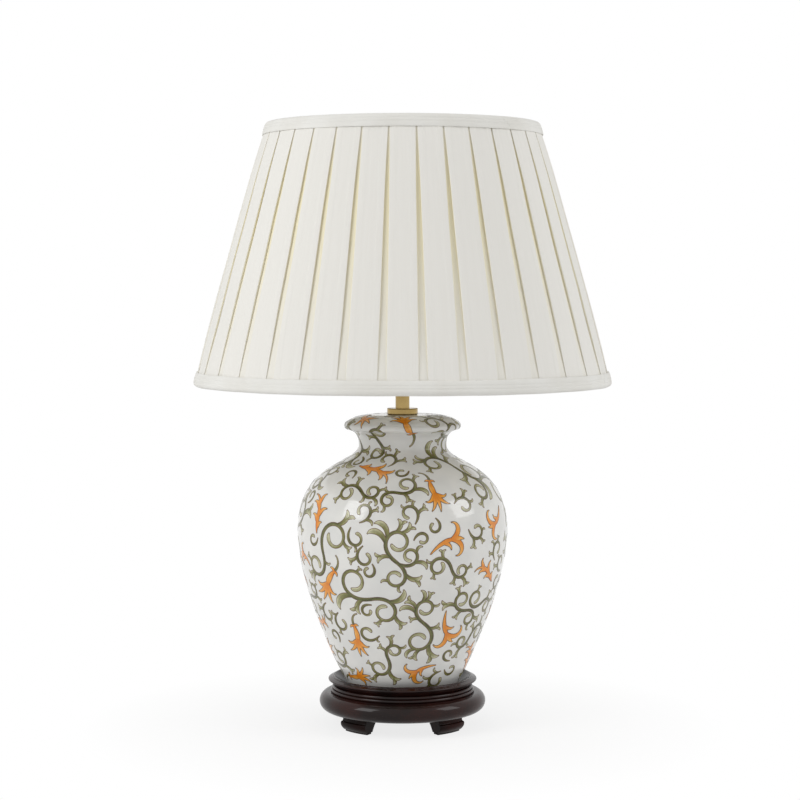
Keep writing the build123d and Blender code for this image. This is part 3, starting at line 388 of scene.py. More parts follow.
# Brush shapes: the width and the tone of a stroke at a share of its length
BRUSHES = {
    "stem": (lambda t: swelling(t, 0.75, 0.25) * volute(t), lambda t: 0.12 + 0.36 * t + 0.5 * t ** 4),
    "tail": (lambda t: swelling(t, 0.06, 0.4) * volute(t), lambda t: max(0.5 - t, 0.14) + 0.8 * t ** 3),
    "arm": (lambda t: swelling(t, 0.42, 0.62) * tapering(t, 0.62, 2.2), lambda t: 0.12 + 0.88 * t),
    "petal": (lambda t: swelling(t, 0.5, 0.4) * tapering(t, 0.4, 1.6), lambda t: 0.1 + 0.9 * t),
    "bud": (lambda t: 0.3 + 0.7 * math.sin(math.pi * t ** 1.2) ** 0.8, lambda t: 0.75 - 0.5 * abs(2 * t - 1)),
    "flame": (lambda t: swelling(t, 0.1, 0.35) * tapering(t, 0.35, 1.3), lambda t: 0.15 + 0.6 * t),
    "thread": (lambda t: max(1 - 0.8 * t, 0.05), lambda t: 0.25 + 0.5 * t),
}
COLUMNS = 720
# Leaves on the back of a stem: where they leave it and their lengths, as shares of the stem's length
LEAVES = (
    ((0.16, 0.25), (0.36, 0.3), (0.56, 0.2)),
    ((0.24, 0.32), (0.46, 0.24), (0.66, 0.15)),
    ((0.1, 0.22), (0.3, 0.32), (0.5, 0.2)),
)


class Painter:
    """Lays brush strokes on the jar and keeps them clear of each other."""

    def __init__(self, ground, seed):
        self.ground = ground
        self.chance = random.Random(seed)
        self.strokes = []
        self.hosts = []
        self.blooms = []
        self.taken = [bytearray(COLUMNS) for _ in ground.radii]

    def walk(self, start, heading, size, turn, curl, sway=0.0):
        """Path of a stroke that turns by turn in all, more of it near the end as curl grows."""
        angle, length = start[:2]
        count = max(9, round(size / (1.1 * MM)))
        step = size / (count - 1)
        path = []
        for k in range(count):
            t = k / (count - 1)
            way = heading + turn * t ** curl + sway * math.sin(math.pi * t)
            path.append((angle, length, way))
            angle += math.cos(way) * step / self.ground.radius(length)
            length += math.sin(way) * step
        return path

    def brushed(self, path, width, brush, enamel):
        """A stroke along a path with one of the brush shapes."""
        swell, tone = BRUSHES[brush]
        shares = [k / (len(path) - 1) for k in range(len(path))]
        return Stroke(path, [width * swell(t) for t in shares], [tone(t) for t in shares], enamel)

    def free(self, angle, length):
        """Whether nothing is drawn at a place."""
        column = round(angle / math.tau * COLUMNS) % COLUMNS
        return not self.taken[min(max(round(length / MM), 0), len(self.taken) - 1)][column]

    def fits(self, stroke, skip=0):
        """Whether a stroke stays on the jar and clear of what is drawn, apart from its first points."""
        low = 1.0 * MM
        high = self.ground.total - 1.0 * MM
        for k in range(skip, len(stroke.path)):
            angle, length, way = stroke.path[k]
            half = stroke.widths[k] / 2
            if not low + half <= length <= high - half:
                return False
            radius = self.ground.radius(length)
            for side in (0, half, -half):
                if not self.free(angle - math.sin(way) * side / radius, length + math.cos(way) * side):
                    return False
        return True

    def draw(self, strokes, clear):
        """Keep strokes, and mark where they lie with some room round them."""
        for stroke in strokes:
            self.strokes.append(stroke)
            for (angle, length, _), width in zip(stroke.path, stroke.widths):
                reach = width / 2 + clear
                middle = angle / math.tau * COLUMNS
                for row in range(math.ceil((length - reach) / MM), math.floor((length + reach) / MM) + 1):
                    if not 0 <= row < len(self.taken):
                        continue
                    span = math.sqrt(max(reach ** 2 - (row * MM - length) ** 2, 0.0))
                    wide = span / self.ground.radii[row] / math.tau * COLUMNS
                    for column in range(math.ceil(middle - wide), math.floor(middle + wide) + 1):
                        self.taken[row][column % COLUMNS] = 1

    def leaf(self, root, side, size):
        """A leaf that curls away to one side, and the barb on its back."""
        path = self.walk(root, root[2] + side * 0.5, size, side * 2.1, 1.5)
        middle = path[len(path) // 2]
        barb = self.walk(middle, middle[2] - side * 0.25, size * 0.52, -side * 1.5, 1.4)
        return self.brushed(path, 0.2 * size, "arm", "leaf"), self.brushed(barb, 0.15 * size, "arm", "leaf")

    def leaves(self, host, side, size):
        """Leaves along the back of a stem that is drawn, each as long as there is room for."""
        for share, reach in self.chance.choice(LEAVES):
            root = host.path[int(share * (len(host.path) - 1))]
            for scale in (1.0, 0.8, 0.62):
                leaf, barb = self.leaf(root, -side, size * reach * scale)
                if self.fits(leaf, 8):
                    self.draw([leaf], 1.5 * MM)
                    if self.fits(barb, 6):
                        self.draw([barb], 1.5 * MM)
                    break

    def winding(self, root, heading, side, size):
        """A stem from a root that winds in to a volute."""
        path = self.walk(root, heading, size, side * 7.0, 1.55)
        return self.brushed(path, 0.018 * size + 2.0 * MM, "stem", "leaf")

    def scroll(self, spot, heading, side, size):
        """Two stems that run out of one another and wind in at both ends, like an S."""
        small = size * 0.8
        stems = [self.winding(spot, heading, side, size), self.winding(spot, heading + math.pi, side, small)]
        if not all(self.fits(stem) for stem in stems):
            return None
        self.hosts += [(stems[0], side, size), (stems[1], side, small)]
        return stems

    def branch(self, host, side, size):
        """Side stems off a host's back, each winding the other way, as large as there is room for."""
        for share in (0.05, 0.26, 0.44):
            root = host.path[int(share * (len(host.path) - 1))]
            for scale in (1.0, 0.84, 0.7, 0.58):
                if size * scale < 50 * MM:
                    break
                stem = self.winding(root, root[2] - side * 0.45, -side, size * scale)
                if self.fits(stem, 13):
                    self.draw([stem], 1.8 * MM)
                    self.hosts.append((stem, -side, size * scale))
                    break

    def tendril(self, spot, heading, side, size):
        """A short stem with a curl, which may carry leaves."""
        root = self.back(spot, heading, 0.4 * size)
        path = self.walk(root, heading - side * 0.4, size, side * 5.4, 1.5)
        main = self.brushed(path, 0.03 * size + 1.6 * MM, "tail", "leaf")
        if not self.fits(main):
            return None
        self.hosts.append((main, side, size))
        return [main]

    def fork(self, spot, heading, side, size):
        """An orange fork: a tapering stalk that parts into two curled arms with a tip between them."""
        root = self.back(spot, heading, 0.45 * size)
        path = self.walk(root, heading - side * 0.4, size * 0.66, side * 0.9, 1.3)
        strokes = [self.brushed(path[::-1], 0.08 * size, "flame", "flower")]
        joint = path[-7]
        for lean, reach, turn in ((0.3, 0.56, 3.2), (-0.3, 0.5, -2.9), (0.0, 0.3, 0.5)):
            arm = self.walk(joint, joint[2] + side * lean, size * reach, side * turn, 1.6)
            strokes.append(self.brushed(arm, 0.09 * size, "petal", "flower"))
        barb = path[len(path) // 2]
        tongue = self.walk(barb, barb[2] + side * 0.5, size * 0.26, side * 1.6, 1.5)
        strokes.append(self.brushed(tongue, 0.06 * size, "petal", "flower"))
        return strokes if all(self.fits(stroke) for stroke in strokes) else None

    def tulip(self, spot, heading, side, size):
        """An orange flower: a slim bud, three long petals, two that curl back, and a thin green stalk."""
        root = self.back(spot, heading, 0.4 * size)
        path = self.walk(root, heading, size * 0.46, side * 0.5, 1.2)
        bud = self.brushed(path, 0.125 * size, "bud", "flower")
        if not self.fits(bud):
            return None
        strokes = [bud]
        crown = path[-5]
        for lean, reach, turn in ((0.04, 0.5, -0.4), (0.3, 0.48, 0.9), (-0.28, 0.5, -0.8), (0.6, 0.36, 1.9),
                                  (-0.55, 0.38, -1.8)):
            petal = self.walk(crown, crown[2] + side * lean, size * reach, side * turn, 2.0)
            strokes.append(self.brushed(petal, 0.085 * size, "petal", "flower"))
        for way in (-1, 1):
            sepal = self.walk(root, heading + math.pi + way * 1.0, size * 0.13, way * 1.6, 1.2)
            strokes.append(self.brushed(sepal, 0.055 * size, "petal", "flower"))
        stalk = self.walk(root, heading + math.pi, size * 0.42, side * 1.7, 1.5)
        strokes.append(self.brushed(stalk, 0.05 * size, "thread", "leaf"))
        return strokes if all(self.fits(stroke) for stroke in strokes) else None

    def flame(self, spot, heading, side, size):
        """An orange leaf: a swinging rib with tongues that lick away from it on both sides."""
        root = self.back(spot, heading, 0.5 * size)
        path = self.walk(root, heading - side * 0.3, size, side * 1.5, 1.7, -side * 0.4)
        rib = self.brushed(path, 0.1 * size, "flame", "flower")
        if not self.fits(rib):
            return None
        strokes = [rib]
        for share, way, reach in ((0.22, side, 0.3), (0.34, -side, 0.36), (0.5, side, 0.34),
                                  (0.62, -side, 0.3), (0.1, -side, 0.22)):
            joint = path[int(share * (len(path) - 1))]
            tongue = self.walk(joint, joint[2] + way * 0.35, size * reach, way * 1.5, 1.8)
            strokes.append(self.brushed(tongue, 0.085 * size, "petal", "flower"))
        return strokes if all(self.fits(stroke, 3) for stroke in strokes) else None

    def back(self, spot, heading, way):
        """The place some way behind a spot."""
        radius = self.ground.radius(spot[1])
        return spot[0] - math.cos(heading) * way / radius, spot[1] - math.sin(heading) * way

    def crowded(self, angle, length, apart):
        """Whether a spray would bloom nearer than this to another."""
        radius = self.ground.radius(length)
        for other_angle, other_length in self.blooms:
            turn = (angle - other_angle + math.pi) % math.tau - math.pi
            if math.hypot(turn * radius, length - other_length) < apart:
                return True
        return False

    def scatter(self, makers, size, tries, most, clear, apart=0.0):
        """Try motifs in turn at places chosen evenly over the jar, and keep those that fit."""
        placed = 0
        widest = max(self.ground.radii)
        for _ in range(tries):
            if placed >= most:
                break
            length = self.chance.uniform(0, self.ground.total)
            angle = self.chance.uniform(0, math.tau)
            heading = self.chance.uniform(0, math.tau)
            side = self.chance.choice((-1, 1))
            if self.chance.random() > self.ground.radius(length) / widest or not self.free(angle, length):
                continue
            if apart and self.crowded(angle, length, apart):
                continue
            strokes = makers[placed % len(makers)]((angle, length), heading, side, size)
            if strokes:
                self.draw(strokes, clear)
                placed += 1
                if apart:
                    self.blooms.append((angle, length))


def grow_vines(painter):
    """Orange sprays and S scrolls with leaves, side stems off them, then small fillings in what is left."""
    sprays = (painter.tulip, painter.fork, painter.flame)
    painter.scatter(sprays, 54 * MM, 2500, 9, 2.4 * MM, 90 * MM)
    painter.scatter((painter.scroll,), 100 * MM, 1500, 9, 2.4 * MM)
    painter.scatter(sprays, 50 * MM, 4000, 10, 2.4 * MM, 68 * MM)
    painter.scatter((painter.scroll,), 84 * MM, 1500, 8, 2.2 * MM)
    for host in painter.hosts:
        painter.leaves(*host)
    for host in painter.hosts:
        painter.branch(*host)
    painter.scatter(sprays, 44 * MM, 4000, 12, 2.2 * MM, 52 * MM)
    painter.scatter((painter.scroll,), 62 * MM, 2000, 12, 2.0 * MM)
    painter.scatter(sprays, 38 * MM, 4000, 10, 2.0 * MM, 46 * MM)
    painter.scatter((painter.tendril,), 44 * MM, 3000, 30, 2.0 * MM)
    for host in painter.hosts:
        painter.leaves(*host)
    painter.scatter((painter.tendril,), 32 * MM, 3000, 24, 2.2 * MM)


def ribbons(painter, strokes, line, lift, dome):
    """Points, faces, tones, sides and flat places of strokes as thin domed ribbons."""
    ground = painter.ground
    points, faces, tones, sides, flats = [], [], [], [], []
    for index, stroke in enumerate(strokes):
        step = lift + index % 40 * 0.8e-6
        first = len(points)
        last = len(stroke.path) - 1
        marks = zip(stroke.path, stroke.widths, stroke.tones)
        for k, ((angle, length, way), width, tone) in enumerate(marks):
            radius = ground.radius(length)
            along = {0: -line, last: line}.get(k, 0.0)
            for share in (-1.0, -0.5, 0.0, 0.5, 1.0):
                off = share * (width / 2 + line)
                turn = (math.cos(way) * along + math.sin(way) * off) / radius
                climb = math.sin(way) * along - math.cos(way) * off
                points.append(ground.place(angle + turn, length + climb, step + dome * (1 - abs(share))))
                tones.append(tone)
                sides.append(share)
                flats.append(((angle + turn) / math.tau, (length + climb) / ground.total))
        for k in range(last):
            for i in range(4):
                a = first + 5 * k + i
                faces.append((a, a + 1, a + 6, a + 5))
    return points, faces, tones, sides, flats


def note(mesh, name, values):
    """Store one number at each point of a mesh."""
    mesh.attributes.new(name, "FLOAT", "POINT").data.foreach_set("value", values)


def enamel_finish(name, dark, middle, pale):
    """Overglaze enamel, brushed on and fired: it shades from base to tip and along one side of each
    stroke, with a dark vein, and lies under the same gloss as the glaze."""
    material, tree, shader = finish_of(name, {"IOR": 1.5})
    tone = add(tree, "ShaderNodeAttribute", attribute_name="tone").outputs["Fac"]
    side = add(tree, "ShaderNodeAttribute", attribute_name="side").outputs["Fac"]
    place = add(tree, "ShaderNodeTexCoord").outputs["Object"]
    # Brush marks about 4 mm apart
    brush = add(tree, "ShaderNodeTexNoise", {"Vector": place, "Scale": 250.0, "Detail": 3.0}).outputs["Fac"]
    stray = add(tree, "ShaderNodeMath", {0: brush, 1: 0.5, 2: -0.25}, operation="MULTIPLY_ADD").outputs[0]
    across = add(tree, "ShaderNodeMath", {0: side, 1: 0.16, 2: stray}, operation="MULTIPLY_ADD").outputs[0]
    level = add(tree, "ShaderNodeMath", {0: tone, 1: across}, operation="ADD").outputs[0]
    low = add(tree, "ShaderNodeMapRange", {0: level, 1: 0.0, 2: 0.5}).outputs[0]
    high = add(tree, "ShaderNodeMapRange", {0: level, 1: 0.5, 2: 1.0}).outputs[0]
    lower = add(tree, "ShaderNodeMix", {0: low, 6: rgba(dark), 7: rgba(middle)}, data_type="RGBA").outputs[2]
    upper = add(tree, "ShaderNodeMix", {0: high, 6: lower, 7: rgba(pale)}, data_type="RGBA").outputs[2]
    width = add(tree, "ShaderNodeMath", {0: side}, operation="ABSOLUTE").outputs[0]
    vein = add(tree, "ShaderNodeMapRange", {0: width, 1: 0.04, 2: 0.22, 3: 0.5, 4: 0.0}).outputs[0]
    veined = add(tree, "ShaderNodeMath", {0: vein, 1: tone}, operation="MULTIPLY").outputs[0]
    tint = add(tree, "ShaderNodeMix", {0: veined, 6: upper, 7: rgba(dark)}, data_type="RGBA").outputs[2]
    gloss = add(tree, "ShaderNodeMapRange", {0: brush, 1: 0.3, 2: 0.7, 3: 0.1, 4: 0.2}).outputs[0]
    feed(tree, shader, {"Base Color": tint, "Roughness": gloss})
    return material


def outline_finish(looks):
    """Brown enamel line, drawn with a fine brush: it thins and thickens, so it is paler in places."""
    material, tree, shader = finish_of("Brown enamel line", {"IOR": 1.5, "Roughness": 0.16})
    place = add(tree, "ShaderNodeTexCoord").outputs["Object"]
    # The brush ran dry every 6 mm or so
    dry = add(tree, "ShaderNodeTexNoise", {"Vector": place, "Scale": 160.0, "Detail": 2.0}).outputs["Fac"]
    thin = add(tree, "ShaderNodeMapRange", {0: dry, 1: 0.35, 2: 0.75, 3: 0.0, 4: 0.55}).outputs[0]
    tint = add(tree, "ShaderNodeMix", {0: thin, 6: rgba(looks.outline), 7: rgba(linear("a08a6a"))},
               data_type="RGBA").outputs[2]
    feed(tree, shader, {"Base Color": tint})
    return material


def glaze_finish(sizes):
    """Glazed porcelain, dipped and fired: hard gloss with a faint ripple, a little greyer where the
    glaze ran thick."""
    material, tree, shader = finish_of("Glazed porcelain", {"IOR": 1.5})
    place = add(tree, "ShaderNodeTexCoord").outputs["Object"]
    # Runs of thick glaze about 30 mm across, ripples about 9 mm
    pool = add(tree, "ShaderNodeTexNoise", {"Vector": place, "Scale": 33.0, "Detail": 2.0}).outputs["Fac"]
    ripple = add(tree, "ShaderNodeTexNoise", {"Vector": place, "Scale": 110.0, "Detail": 2.0}).outputs["Fac"]
    share = add(tree, "ShaderNodeMapRange", {0: pool, 1: 0.35, 2: 0.7}).outputs[0]
    tint = add(tree, "ShaderNodeMix", {0: share, 6: rgba(sizes.glaze), 7: rgba(sizes.glaze_pool)},
               data_type="RGBA").outputs[2]
    gloss = add(tree, "ShaderNodeMapRange", {0: pool, 1: 0.3, 2: 0.7, 3: 0.06, 4: 0.12}).outputs[0]
    bump = add(tree, "ShaderNodeBump", {"Height": ripple, "Strength": 0.12, "Distance": 0.0003}).outputs[0]
    feed(tree, shader, {"Base Color": tint, "Roughness": gloss, "Normal": bump})
    return material


class LAMP_OT_jar(Operator):
    """Turn the glazed jar"""
    bl_idname = "lamp.jar"
    bl_label = "Jar"

    def execute(self, context):
        sizes = context.scene.lamp_jar
        outside = jar_outside(sizes)
        top_z = outside[-1][1]
        ceiling = top_z - sizes.wall
        floor_z = JAR_FOOT_Z + JAR_FLOOR_RISE
        inside = jar_flank(sizes, sizes.wall, floor_z, 40)
        inside.append((sizes.neck_radius - sizes.wall, JAR_FOOT_Z + sizes.neck_height))
        inside.append((sizes.neck_radius - sizes.wall, ceiling))
        ring = sizes.foot_radius - FOOT_RING
        loop = [(JAR_HOLE, JAR_FOOT_Z + FOOT_HOLLOW), (ring, JAR_FOOT_Z + FOOT_HOLLOW), (ring, JAR_FOOT_Z)]
        loop += [(sizes.foot_radius - FOOT_ROUND, JAR_FOOT_Z), *outside[1:]]
        loop += [(JAR_HOLE, top_z), (JAR_HOLE, ceiling), *inside[::-1], (JAR_HOLE, floor_z)]
        points, faces = turned(loop, 224)
        jar = piece_of("glazed_jar", points, faces, glaze_finish(sizes), "base")
        outward(jar)
        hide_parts("porcelain_jar")
        return {"FINISHED"}


class LAMP_OT_vines(Operator):
    """Paint the vines on the jar"""
    bl_idname = "lamp.vines"
    bl_label = "Painted vines"

    def execute(self, context):
        looks = context.scene.lamp_vines
        painter = Painter(Ground(jar_outside(context.scene.lamp_jar)), looks.seed)
        grow_vines(painter)
        leaves = [s for s in painter.strokes if s.enamel == "leaf"]
        flowers = [s for s in painter.strokes if s.enamel == "flower"]
        brown = outline_finish(looks)
        green = enamel_finish("Olive enamel", looks.leaf_dark, looks.leaf_mid, looks.leaf_pale)
        orange = enamel_finish("Orange enamel", looks.flower_deep, looks.flower_mid, looks.flower_pale)
        for name, strokes, line, lift, dome, material in (
            ("vine_leaf_lines", leaves, looks.line, 0.06 * MM, 0.0, brown),
            ("vine_leaves", leaves, 0.0, 0.12 * MM, 0.03 * MM, green),
            ("vine_flower_lines", flowers, looks.line, 0.2 * MM, 0.0, brown),
            ("vine_flowers", flowers, 0.0, 0.26 * MM, 0.03 * MM, orange),
        ):
            points, faces, tones, sides, flats = ribbons(painter, strokes, line, lift, dome)
            piece = piece_of(name, points, faces, material, "base")
            mesh = piece.data
            note(mesh, "tone", tones)
            note(mesh, "side", sides)
            flat = mesh.uv_layers.new(name="OFBake")
            flat.data.foreach_set("uv", [c for loop in mesh.loops for c in flats[loop.vertex_index]])
        return {"FINISHED"}


def cloth_finish(sizes):
    """Ivory pongee, plain woven with uneven yarn and pressed into pleats: matt with a low sheen, faint
    slubs along the pleats, and painted shade: a warm tan mixed in where the cloth lies deep between pleats."""
    material, tree, shader = finish_of("Pleated pongee", {
        "Roughness": 0.75, "Sheen Weight": 0.15, "Sheen Roughness": 0.5, "Specular IOR Level": 0.25})
    # Share of painted shade at each point, from how deep it lies between pleats
    fold = add(tree, "ShaderNodeAttribute", attribute_name="fold").outputs["Fac"]
    flat = add(tree, "ShaderNodeUVMap", uv_map="OFBake").outputs["UV"]
    # The cut is 2.0 m by 0.3 m; slubs are drawn 1.5 mm apart and 60 mm long, coarser than the real yarn
    slub_place = add(tree, "ShaderNodeMapping", {"Vector": flat, "Scale": (1400.0, 5.0, 1.0)}).outputs[0]
    slub = add(tree, "ShaderNodeTexNoise", {"Vector": slub_place, "Scale": 1.0, "Detail": 3.0}).outputs["Fac"]
    # Weave drawn at 0.9 mm, about three times the real thread spacing, so that it shows
    warp_place = add(tree, "ShaderNodeMapping", {"Vector": flat, "Scale": (2300.0, 330.0, 1.0)}).outputs[0]
    warp = add(tree, "ShaderNodeTexChecker", {"Vector": warp_place, "Scale": 1.0}).outputs["Fac"]
    streak = add(tree, "ShaderNodeMapRange", {0: slub, 1: 0.3, 2: 0.75, 3: 0.0, 4: 0.1}).outputs[0]
    plain = add(tree, "ShaderNodeMix", {0: streak, 6: rgba(sizes.cloth), 7: rgba(linear("dcd8cb"))},
                data_type="RGBA").outputs[2]
    # Painted shade: the warm tan recess colour mixed into the cloth deep between pleats
    tint = add(tree, "ShaderNodeMix", {0: fold, 6: plain, 7: rgba(sizes.recess_shade)}, data_type="RGBA").outputs[2]
    height = add(tree, "ShaderNodeMath", {0: warp, 1: 0.12, 2: slub}, operation="MULTIPLY_ADD").outputs[0]
    bump = add(tree, "ShaderNodeBump", {"Height": height, "Strength": 0.3, "Distance": 0.0002}).outputs[0]
    feed(tree, shader, {"Base Color": tint, "Normal": bump})
    return material


class Wall:
    """The shade's straight wall: places by the way up it and the depth out of it."""

    def __init__(self, sizes):
        self.lean = math.atan2(sizes.bottom_radius - sizes.top_radius, sizes.height)
        self.slant = math.hypot(sizes.bottom_radius - sizes.top_radius, sizes.height)
        self.radius = sizes.bottom_radius
        self.bottom = sizes.bottom_z

    def at(self, up, out):
        """Radius and height."""
        radius = self.radius - up * math.sin(self.lean) + out * math.cos(self.lean)
        return radius, self.bottom + up * math.cos(self.lean) + out * math.sin(self.lean)


def pleat_row(sizes, wall, up, swell):
    """One pleat across: offset from its middle, depth, and the share of painted shade each point takes for
    lying deep in the fold.
    """
    radius = wall.at(up, 0.0)[0]
    pitch = math.tau * radius / sizes.pleats
    # The gaps stand most open a little above mid height, and the painted shade on the cloth between pleats is
    # strongest there
    open_share = math.sin(math.pi * (up / wall.slant) ** 1.9)
    gap = sizes.gap_bottom + up / wall.slant * (sizes.gap_top - sizes.gap_bottom) + sizes.gape * open_share
    shaded = 0.08 + 0.72 * open_share
    half = gap / 2
    face = sizes.edge + swell
    floor = sizes.floor
    step = face - floor
    under = sizes.underlap
    # Painted shade on a pleat's side and underlap: more where the step is deep and the gap narrow
    deep = min(step / (2.4 * MM), 1.0) * min(5 * MM / max(gap, MM), 1.0)
    run = pitch / 2 - half
    # Each point: offset from the middle, depth, and share of painted shade
    left = [
        (0.0, floor, shaded),
        (0.55 * half, floor, shaded),
        (half - 0.0002, floor + 0.00003, max(shaded, 0.6 * deep)),
        (half + under, floor + 0.0001, 1.0),
        (half + under + 0.0002, floor + 0.00018, 1.0),
        (half + under, floor + 0.00026, 1.0),
        (half + 0.001, floor + 0.00028, 0.9),
        (half + 0.0003, floor + 0.00026 + 0.1 * step, 0.7 * deep),
        (half, floor + 0.55 * step, 0.5 * deep),
        (half - 0.0001, floor + 0.75 * step, 0.3 * deep),
        (half, floor + 0.9 * step, 0.12 * deep),
        (half + 0.0003, face - 0.02 * step, 0.03 * deep),
        (half + 0.0009, face + 0.00003, 0.0),
        (half + 0.4 * under, face + 0.0001, 0.0),
        (half + 0.85 * under, face + 0.00022, 0.0),
        (half + 1.05 * under, face + 0.00032, 0.0),
        (half + 1.25 * under, face + 0.00016, 0.0),
        (half + 0.55 * run, face + 0.0001, 0.0),
        (half + 0.78 * run, face + 0.00022, 0.0),
    ]
    middle = pitch / 2
    row = [(a - middle, d, f) for a, d, f in left]
    row.append((0.0, face + 0.00026, 0.0))
    row += [(middle - a, d, f) for a, d, f in left[::-1]]
    return row


def one_pleat(sizes, wall, rows):
    """A single pleat at the front, as a mesh with the share of painted shade from its fold depth and its flat
    place.
    """
    points, faces, fold_shades, flats = [], [], [], []
    tuck = sizes.trim_height + 0.0008
    for k in range(rows + 1):
        up = 0.0049 + (wall.slant - 0.0098) * k / rows
        share = min(max((up - tuck) / (wall.slant - 2 * tuck), 0.0), 1.0)
        swell = sizes.swell * (1 - (2 * share - 1) ** 4)
        row = pleat_row(sizes, wall, up, swell)
        radius = wall.at(up, 0.0)[0]
        half_chord = radius * math.cos(math.pi / sizes.pleats)
        runs = [0.0]
        for a, b in zip(row, row[1:]):
            runs.append(runs[-1] + math.dist(a[:2], b[:2]))
        for (off, depth, fold), run in zip(row, runs):
            angle = off / radius
            flatter = half_chord / math.cos(angle) if abs(angle) < math.pi / sizes.pleats else radius
            sink = 0.45 * (radius - flatter) * (depth > 1.2 * sizes.floor)
            place, height = wall.at(up, depth - sink)
            points.append((place * math.sin(angle), -place * math.cos(angle), height))
            fold_shades.append(fold)
            flats.append((run / runs[-1], up / wall.slant))
    count = len(points) // (rows + 1)
    for k in range(rows):
        for i in range(count - 1):
            a = k * count + i
            faces.append((a, a + 1, a + 1 + count, a + count))
    return points, faces, fold_shades, flats


def pleat_tree():
    """Geometry nodes that set one pleat round the shade and join and loosen the cloth."""
    tree = bpy.data.node_groups.new("Pleats round the shade", "GeometryNodeTree")
    kinds = {"Geometry": "Geometry", "Count": "Int", "Unevenness": "Float", "Cloth": "Material"}
    for name, kind in kinds.items():
        tree.interface.new_socket(name, in_out="INPUT", socket_type="NodeSocket" + kind)
    tree.interface.new_socket("Geometry", in_out="OUTPUT", socket_type="NodeSocketGeometry")
    start = add(tree, "NodeGroupInput").outputs
    one = add(tree, "GeometryNodeGeometryToInstance", {"Geometry": start["Geometry"]}).outputs[0]
    many = add(tree, "GeometryNodeDuplicateElements", {"Geometry": one, "Amount": start["Count"]},
               domain="INSTANCE").outputs
    pitch = add(tree, "ShaderNodeMath", {0: math.tau, 1: start["Count"]}, operation="DIVIDE").outputs[0]
    angle = add(tree, "ShaderNodeMath", {0: many["Duplicate Index"], 1: pitch},
                operation="MULTIPLY").outputs[0]
    turn = add(tree, "ShaderNodeCombineXYZ", {"Z": angle}).outputs[0]
    ring = add(tree, "GeometryNodeRotateInstances",
               {"Instances": many["Geometry"], "Rotation": turn}).outputs[0]
    mesh = add(tree, "GeometryNodeRealizeInstances", {"Geometry": ring}).outputs[0]
    joined = add(tree, "GeometryNodeMergeByDistance", {"Geometry": mesh, "Distance": 0.00002}).outputs[0]
    place = add(tree, "GeometryNodeInputPosition").outputs[0]
    # Hand folding strays over about 70 mm
    stray = add(tree, "ShaderNodeTexNoise", {"Vector": place, "Scale": 14.0, "Detail": 1.0}).outputs["Color"]
    centred = add(tree, "ShaderNodeVectorMath", {0: stray, 1: (0.5, 0.5, 0.5)},
                  operation="SUBTRACT").outputs[0]
    shift = add(tree, "ShaderNodeVectorMath", {0: centred, "Scale": start["Unevenness"]},
                operation="SCALE").outputs[0]
    loose = add(tree, "GeometryNodeSetPosition", {"Geometry": joined, "Offset": shift}).outputs[0]
    dressed = add(tree, "GeometryNodeSetMaterial", {"Geometry": loose, "Material": start["Cloth"]}).outputs[0]
    add(tree, "NodeGroupOutput", {"Geometry": dressed})
    return tree


# Round a trim from its leg on the lining over the edge to its face: shares of its height, mm out of the wall
TRIM_OUTLINE = (
    (0.74, -1.9), (0.69, -3.0), (0.6, -4.7), (0.48, -5.7), (0.34, -5.9), (0.2, -5.4), (0.08, -4.2),
    (0.015, -2.6), (0.0, -1.0), (0.03, 0.9), (0.1, 2.2), (0.2, 2.95), (0.3, 3.3), (0.34, 3.25),
    (0.38, 2.9), (0.42, 3.25), (0.5, 3.45), (0.58, 3.4), (0.625, 3.0), (0.67, 3.35), (0.75, 3.3),
    (0.85, 3.15), (0.95, 2.95), (0.995, 2.65), (1.0, 2.35), (0.99, 2.05), (0.9, 2.0), (0.5, 2.2),
    (0.34, 1.9), (0.24, 0.4), (0.2, -2.2), (0.28, -4.4), (0.44, -4.9), (0.56, -4.1), (0.64, -2.7),
    (0.73, -1.2),
)
# Where the tape's ends lap: thickness of the lap, angle in which it rises and angle in which it dies away
LAP_THICKNESS = 0.55 * MM
LAP_RISE = 0.0036
LAP_FADE = 0.13


